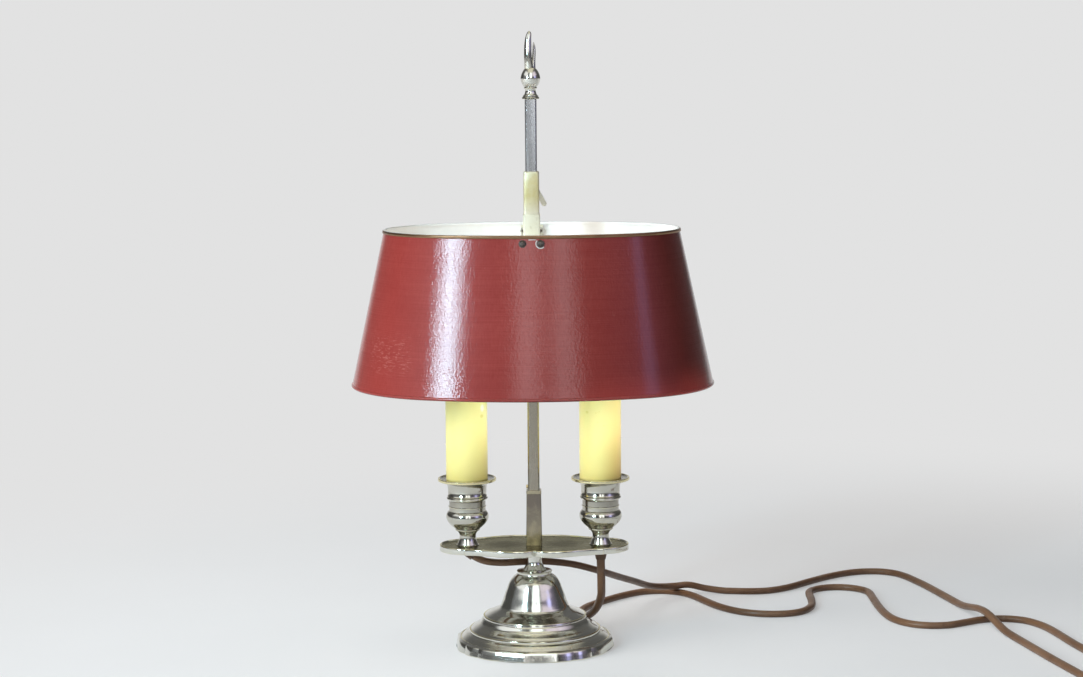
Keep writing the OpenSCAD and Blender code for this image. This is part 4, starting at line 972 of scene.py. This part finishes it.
def make_floor():
    """A pale floor. Away from the lamp it runs into the pale background without a horizon."""
    m, g, b, v = new_mat("floor")
    x, y, _ = g.sep(v)
    # it is paler where it is seen or mirrored than where it throws light on the lamp
    shown = g.light_path("Is Camera Ray", "Is Glossy Ray", "Is Transmission Ray")
    g.fill(b, {
        "Base Color": g.mix(shown, 0.22, g.ramp(g.noise(v, 3, 3), [(0.3, 0.56), (0.7, 0.58)])),
        "Roughness": 0.9,
        "Specular IOR Level": 0.1,
        "Emission Color": rgba(1),
        "Emission Strength": g.mul(shown, 0.33)})
    fade = g.remap(g.length(g.sub(x, 0.15), y), 0.34, 1.15, kind="SMOOTHSTEP")
    mirrored_behind = g.mul(g.light_path("Is Glossy Ray", "Is Transmission Ray"), g.remap(y, 0.2, 0.9))
    rays = g.math("MAXIMUM", g.light_path("Is Camera Ray"), mirrored_behind)
    glow = g.node("ShaderNodeEmission")
    glow.inputs[0].default_value = rgba(PALE)
    out = next(n for n in g.nt.nodes if n.type == "OUTPUT_MATERIAL")
    g.put(out.inputs[0], g.mix_shaders(g.mul(fade, rays), b.outputs[0], glow.outputs[0]))
    bpy.ops.mesh.primitive_plane_add(size=14, location=(0, 0, 0))
    floor = bpy.context.object
    floor.name = "floor"
    floor.data.materials.append(m)


def windows(g, turn, marks):
    """A ring of colours round the room, by the angle in degrees from the camera's side."""
    stops = []
    for deg, value in marks:
        colour = value if isinstance(value, tuple) else (value,) * 3
        stops.append(((deg + 180) / 360, tuple(c / ROOM_STRENGTH for c in colour)))
    return g.ramp(g.add(turn, 0.5), stops)


def mirrored_room(g):
    """What polished surfaces mirror: a pale backdrop behind, and a dim room with tall windows in front."""
    x, y, z = g.sep(g.node("ShaderNodeTexCoord").outputs["Generated"])
    turn = g.math("DIVIDE", g.math("ARCTAN2", x, g.mul(y, -1.0)), 2 * pi)
    low = windows(g, turn, [
        (-180, PALE), (-160, PALE), (-142, 0.08), (-96, 0.08), (-86, (0.22, 0.23, 0.25)),
        (-46, (0.30, 0.31, 0.32)), (-31, 0.22), (-27, 0.06), (-8, 0.06), (-4.5, (3.2, 3.2, 3.3)),
        (0.5, (3.2, 3.2, 3.3)), (3, 0.15), (8, 0.15), (10, (2.6, 2.7, 2.8)), (16.5, (2.6, 2.7, 2.8)),
        (19, 0.07), (28, 0.08), (40, (0.20, 0.18, 0.27)), (47, (0.28, 0.26, 0.42)), (51, (0.95, 0.95, 1.75)),
        (60, (0.95, 0.95, 1.75)), (66, (0.25, 0.22, 0.34)), (84, (0.14, 0.13, 0.17)), (98, 0.08), (150, 0.10),
        (164, PALE), (180, PALE)])
    # darker near the floor in front, and over the backdrop behind
    low = g.mix(g.mul(g.remap(y, 0.2, -0.2), g.remap(z, 0.20, 0.06, 0, 0.85)), low, 0.03)
    low = g.mix(g.mul(g.remap(z, 0.16, 0.42), g.remap(y, 0.4, 0.7)), low, 0.05)
    high = windows(g, turn, [
        (-180, 0.16), (-100, 0.12), (-86, (1.05, 1.08, 1.12)), (-40, (1.25, 1.27, 1.30)), (-33, 0.5),
        (-26, 0.16), (-12, 0.16), (-8, (1.9, 2.1, 2.15)), (18, (1.9, 2.1, 2.15)), (23, 0.3),
        (30, (0.95, 0.86, 1.0)), (66, (1.0, 0.9, 1.05)), (84, (0.5, 0.45, 0.55)), (100, 0.10), (180, 0.16)])
    room = g.mix(g.remap(z, 0.36, 0.44), low, high)
    # the ceiling is pale over the lamp and dark at both sides
    overhead = g.mul(g.remap(g.math("ABSOLUTE", x), 0.60, 0.36), g.remap(y, 0.80, 0.55))
    return g.mix(g.remap(z, 0.70, 0.80), room, g.mix(overhead, 0.03, (0.27, 0.26, 0.215)))


def make_world():
    """The camera sees a pale background and polished surfaces a room; all else gets weak, even light."""
    world = bpy.data.worlds.new("world")
    scene.world = world
    world.use_nodes = True
    world.node_tree.nodes.clear()
    g = G(world.node_tree)
    room, even, pale = (g.node("ShaderNodeBackground") for _ in range(3))
    g.fill(room, {"Color": mirrored_room(g), "Strength": ROOM_STRENGTH})
    g.fill(even, {"Color": rgba(0.065)})
    g.fill(pale, {"Color": rgba(PALE)})
    polished = g.light_path("Is Glossy Ray", "Is Transmission Ray")
    around = g.mix_shaders(polished, even.outputs[0], room.outputs[0])
    seen = g.mix_shaders(g.light_path("Is Camera Ray"), around, pale.outputs[0])
    g.put(g.node("ShaderNodeOutputWorld").inputs[0], seen)


make_floor()
make_world()


# ------------------------------------------------------------------ lights
def light(kind, name, at, watts, colour=(1, 1, 1), towards=None, mirrored=False, **settings):
    d = bpy.data.lights.new(name, kind)
    d.energy, d.color = watts, colour
    for k, value in settings.items():
        setattr(d, k, value)
    ob = bpy.data.objects.new(name, d)
    scene.collection.objects.link(ob)
    ob.location = at
    if towards:
        ob.rotation_euler = (Vector(towards) - Vector(at)).to_track_quat("-Z", "Y").to_euler()
    ob.visible_glossy = mirrored


def area(name, at, towards, size, watts, colour=(1, 1, 1), mirrored=False):
    light("AREA", name, at, watts, colour, towards, mirrored,
          shape="RECTANGLE", size=size[0], size_y=size[1])


area("key", (-1.46, -1.98, 1.12), (0, 0, 0.28), (0.30, 1.0), 36, (0.60, 0.85, 1.0), mirrored=True)
area("left_soft", (-2.0, -1.05, 0.95), (0, 0, 0.25), (1.0, 1.0), 34, (1.0, 0.98, 0.95))
area("front_fill", (0.5, -2.6, 0.9), (0, 0, 0.2), (0.8, 0.8), 4)
area("top", (-0.5, -0.1, 2.1), (0.1, 0, 0.1), (1.6, 1.2), 9)
area("back", (-0.6, 1.8, 1.3), (0, 0, 0.35), (1.2, 0.8), 12)

# a small light inside the shade beside each bulb, and a narrow beam from each side at each candle
BEAM_FROM, BEAM_DEG = 1.36, 2.7
for side, inside, from_left, from_right in ((-1, 0.125, 26, 86), (1, 0.058, 48, 112)):
    light("POINT", "inside_fill", (side * 0.028, -0.012, 0.315), inside, (1.0, 0.985, 0.95),
          shadow_soft_size=0.02)
    candle_x = side * CUP_X * MM
    for step, watts in ((-BEAM_FROM, from_left), (BEAM_FROM, from_right)):
        light("SPOT", "candle_fill", (candle_x + step, -0.95, 0.17), watts, towards=(candle_x, 0, 0.195),
              shadow_soft_size=0.03, spot_size=radians(BEAM_DEG), spot_blend=0.25)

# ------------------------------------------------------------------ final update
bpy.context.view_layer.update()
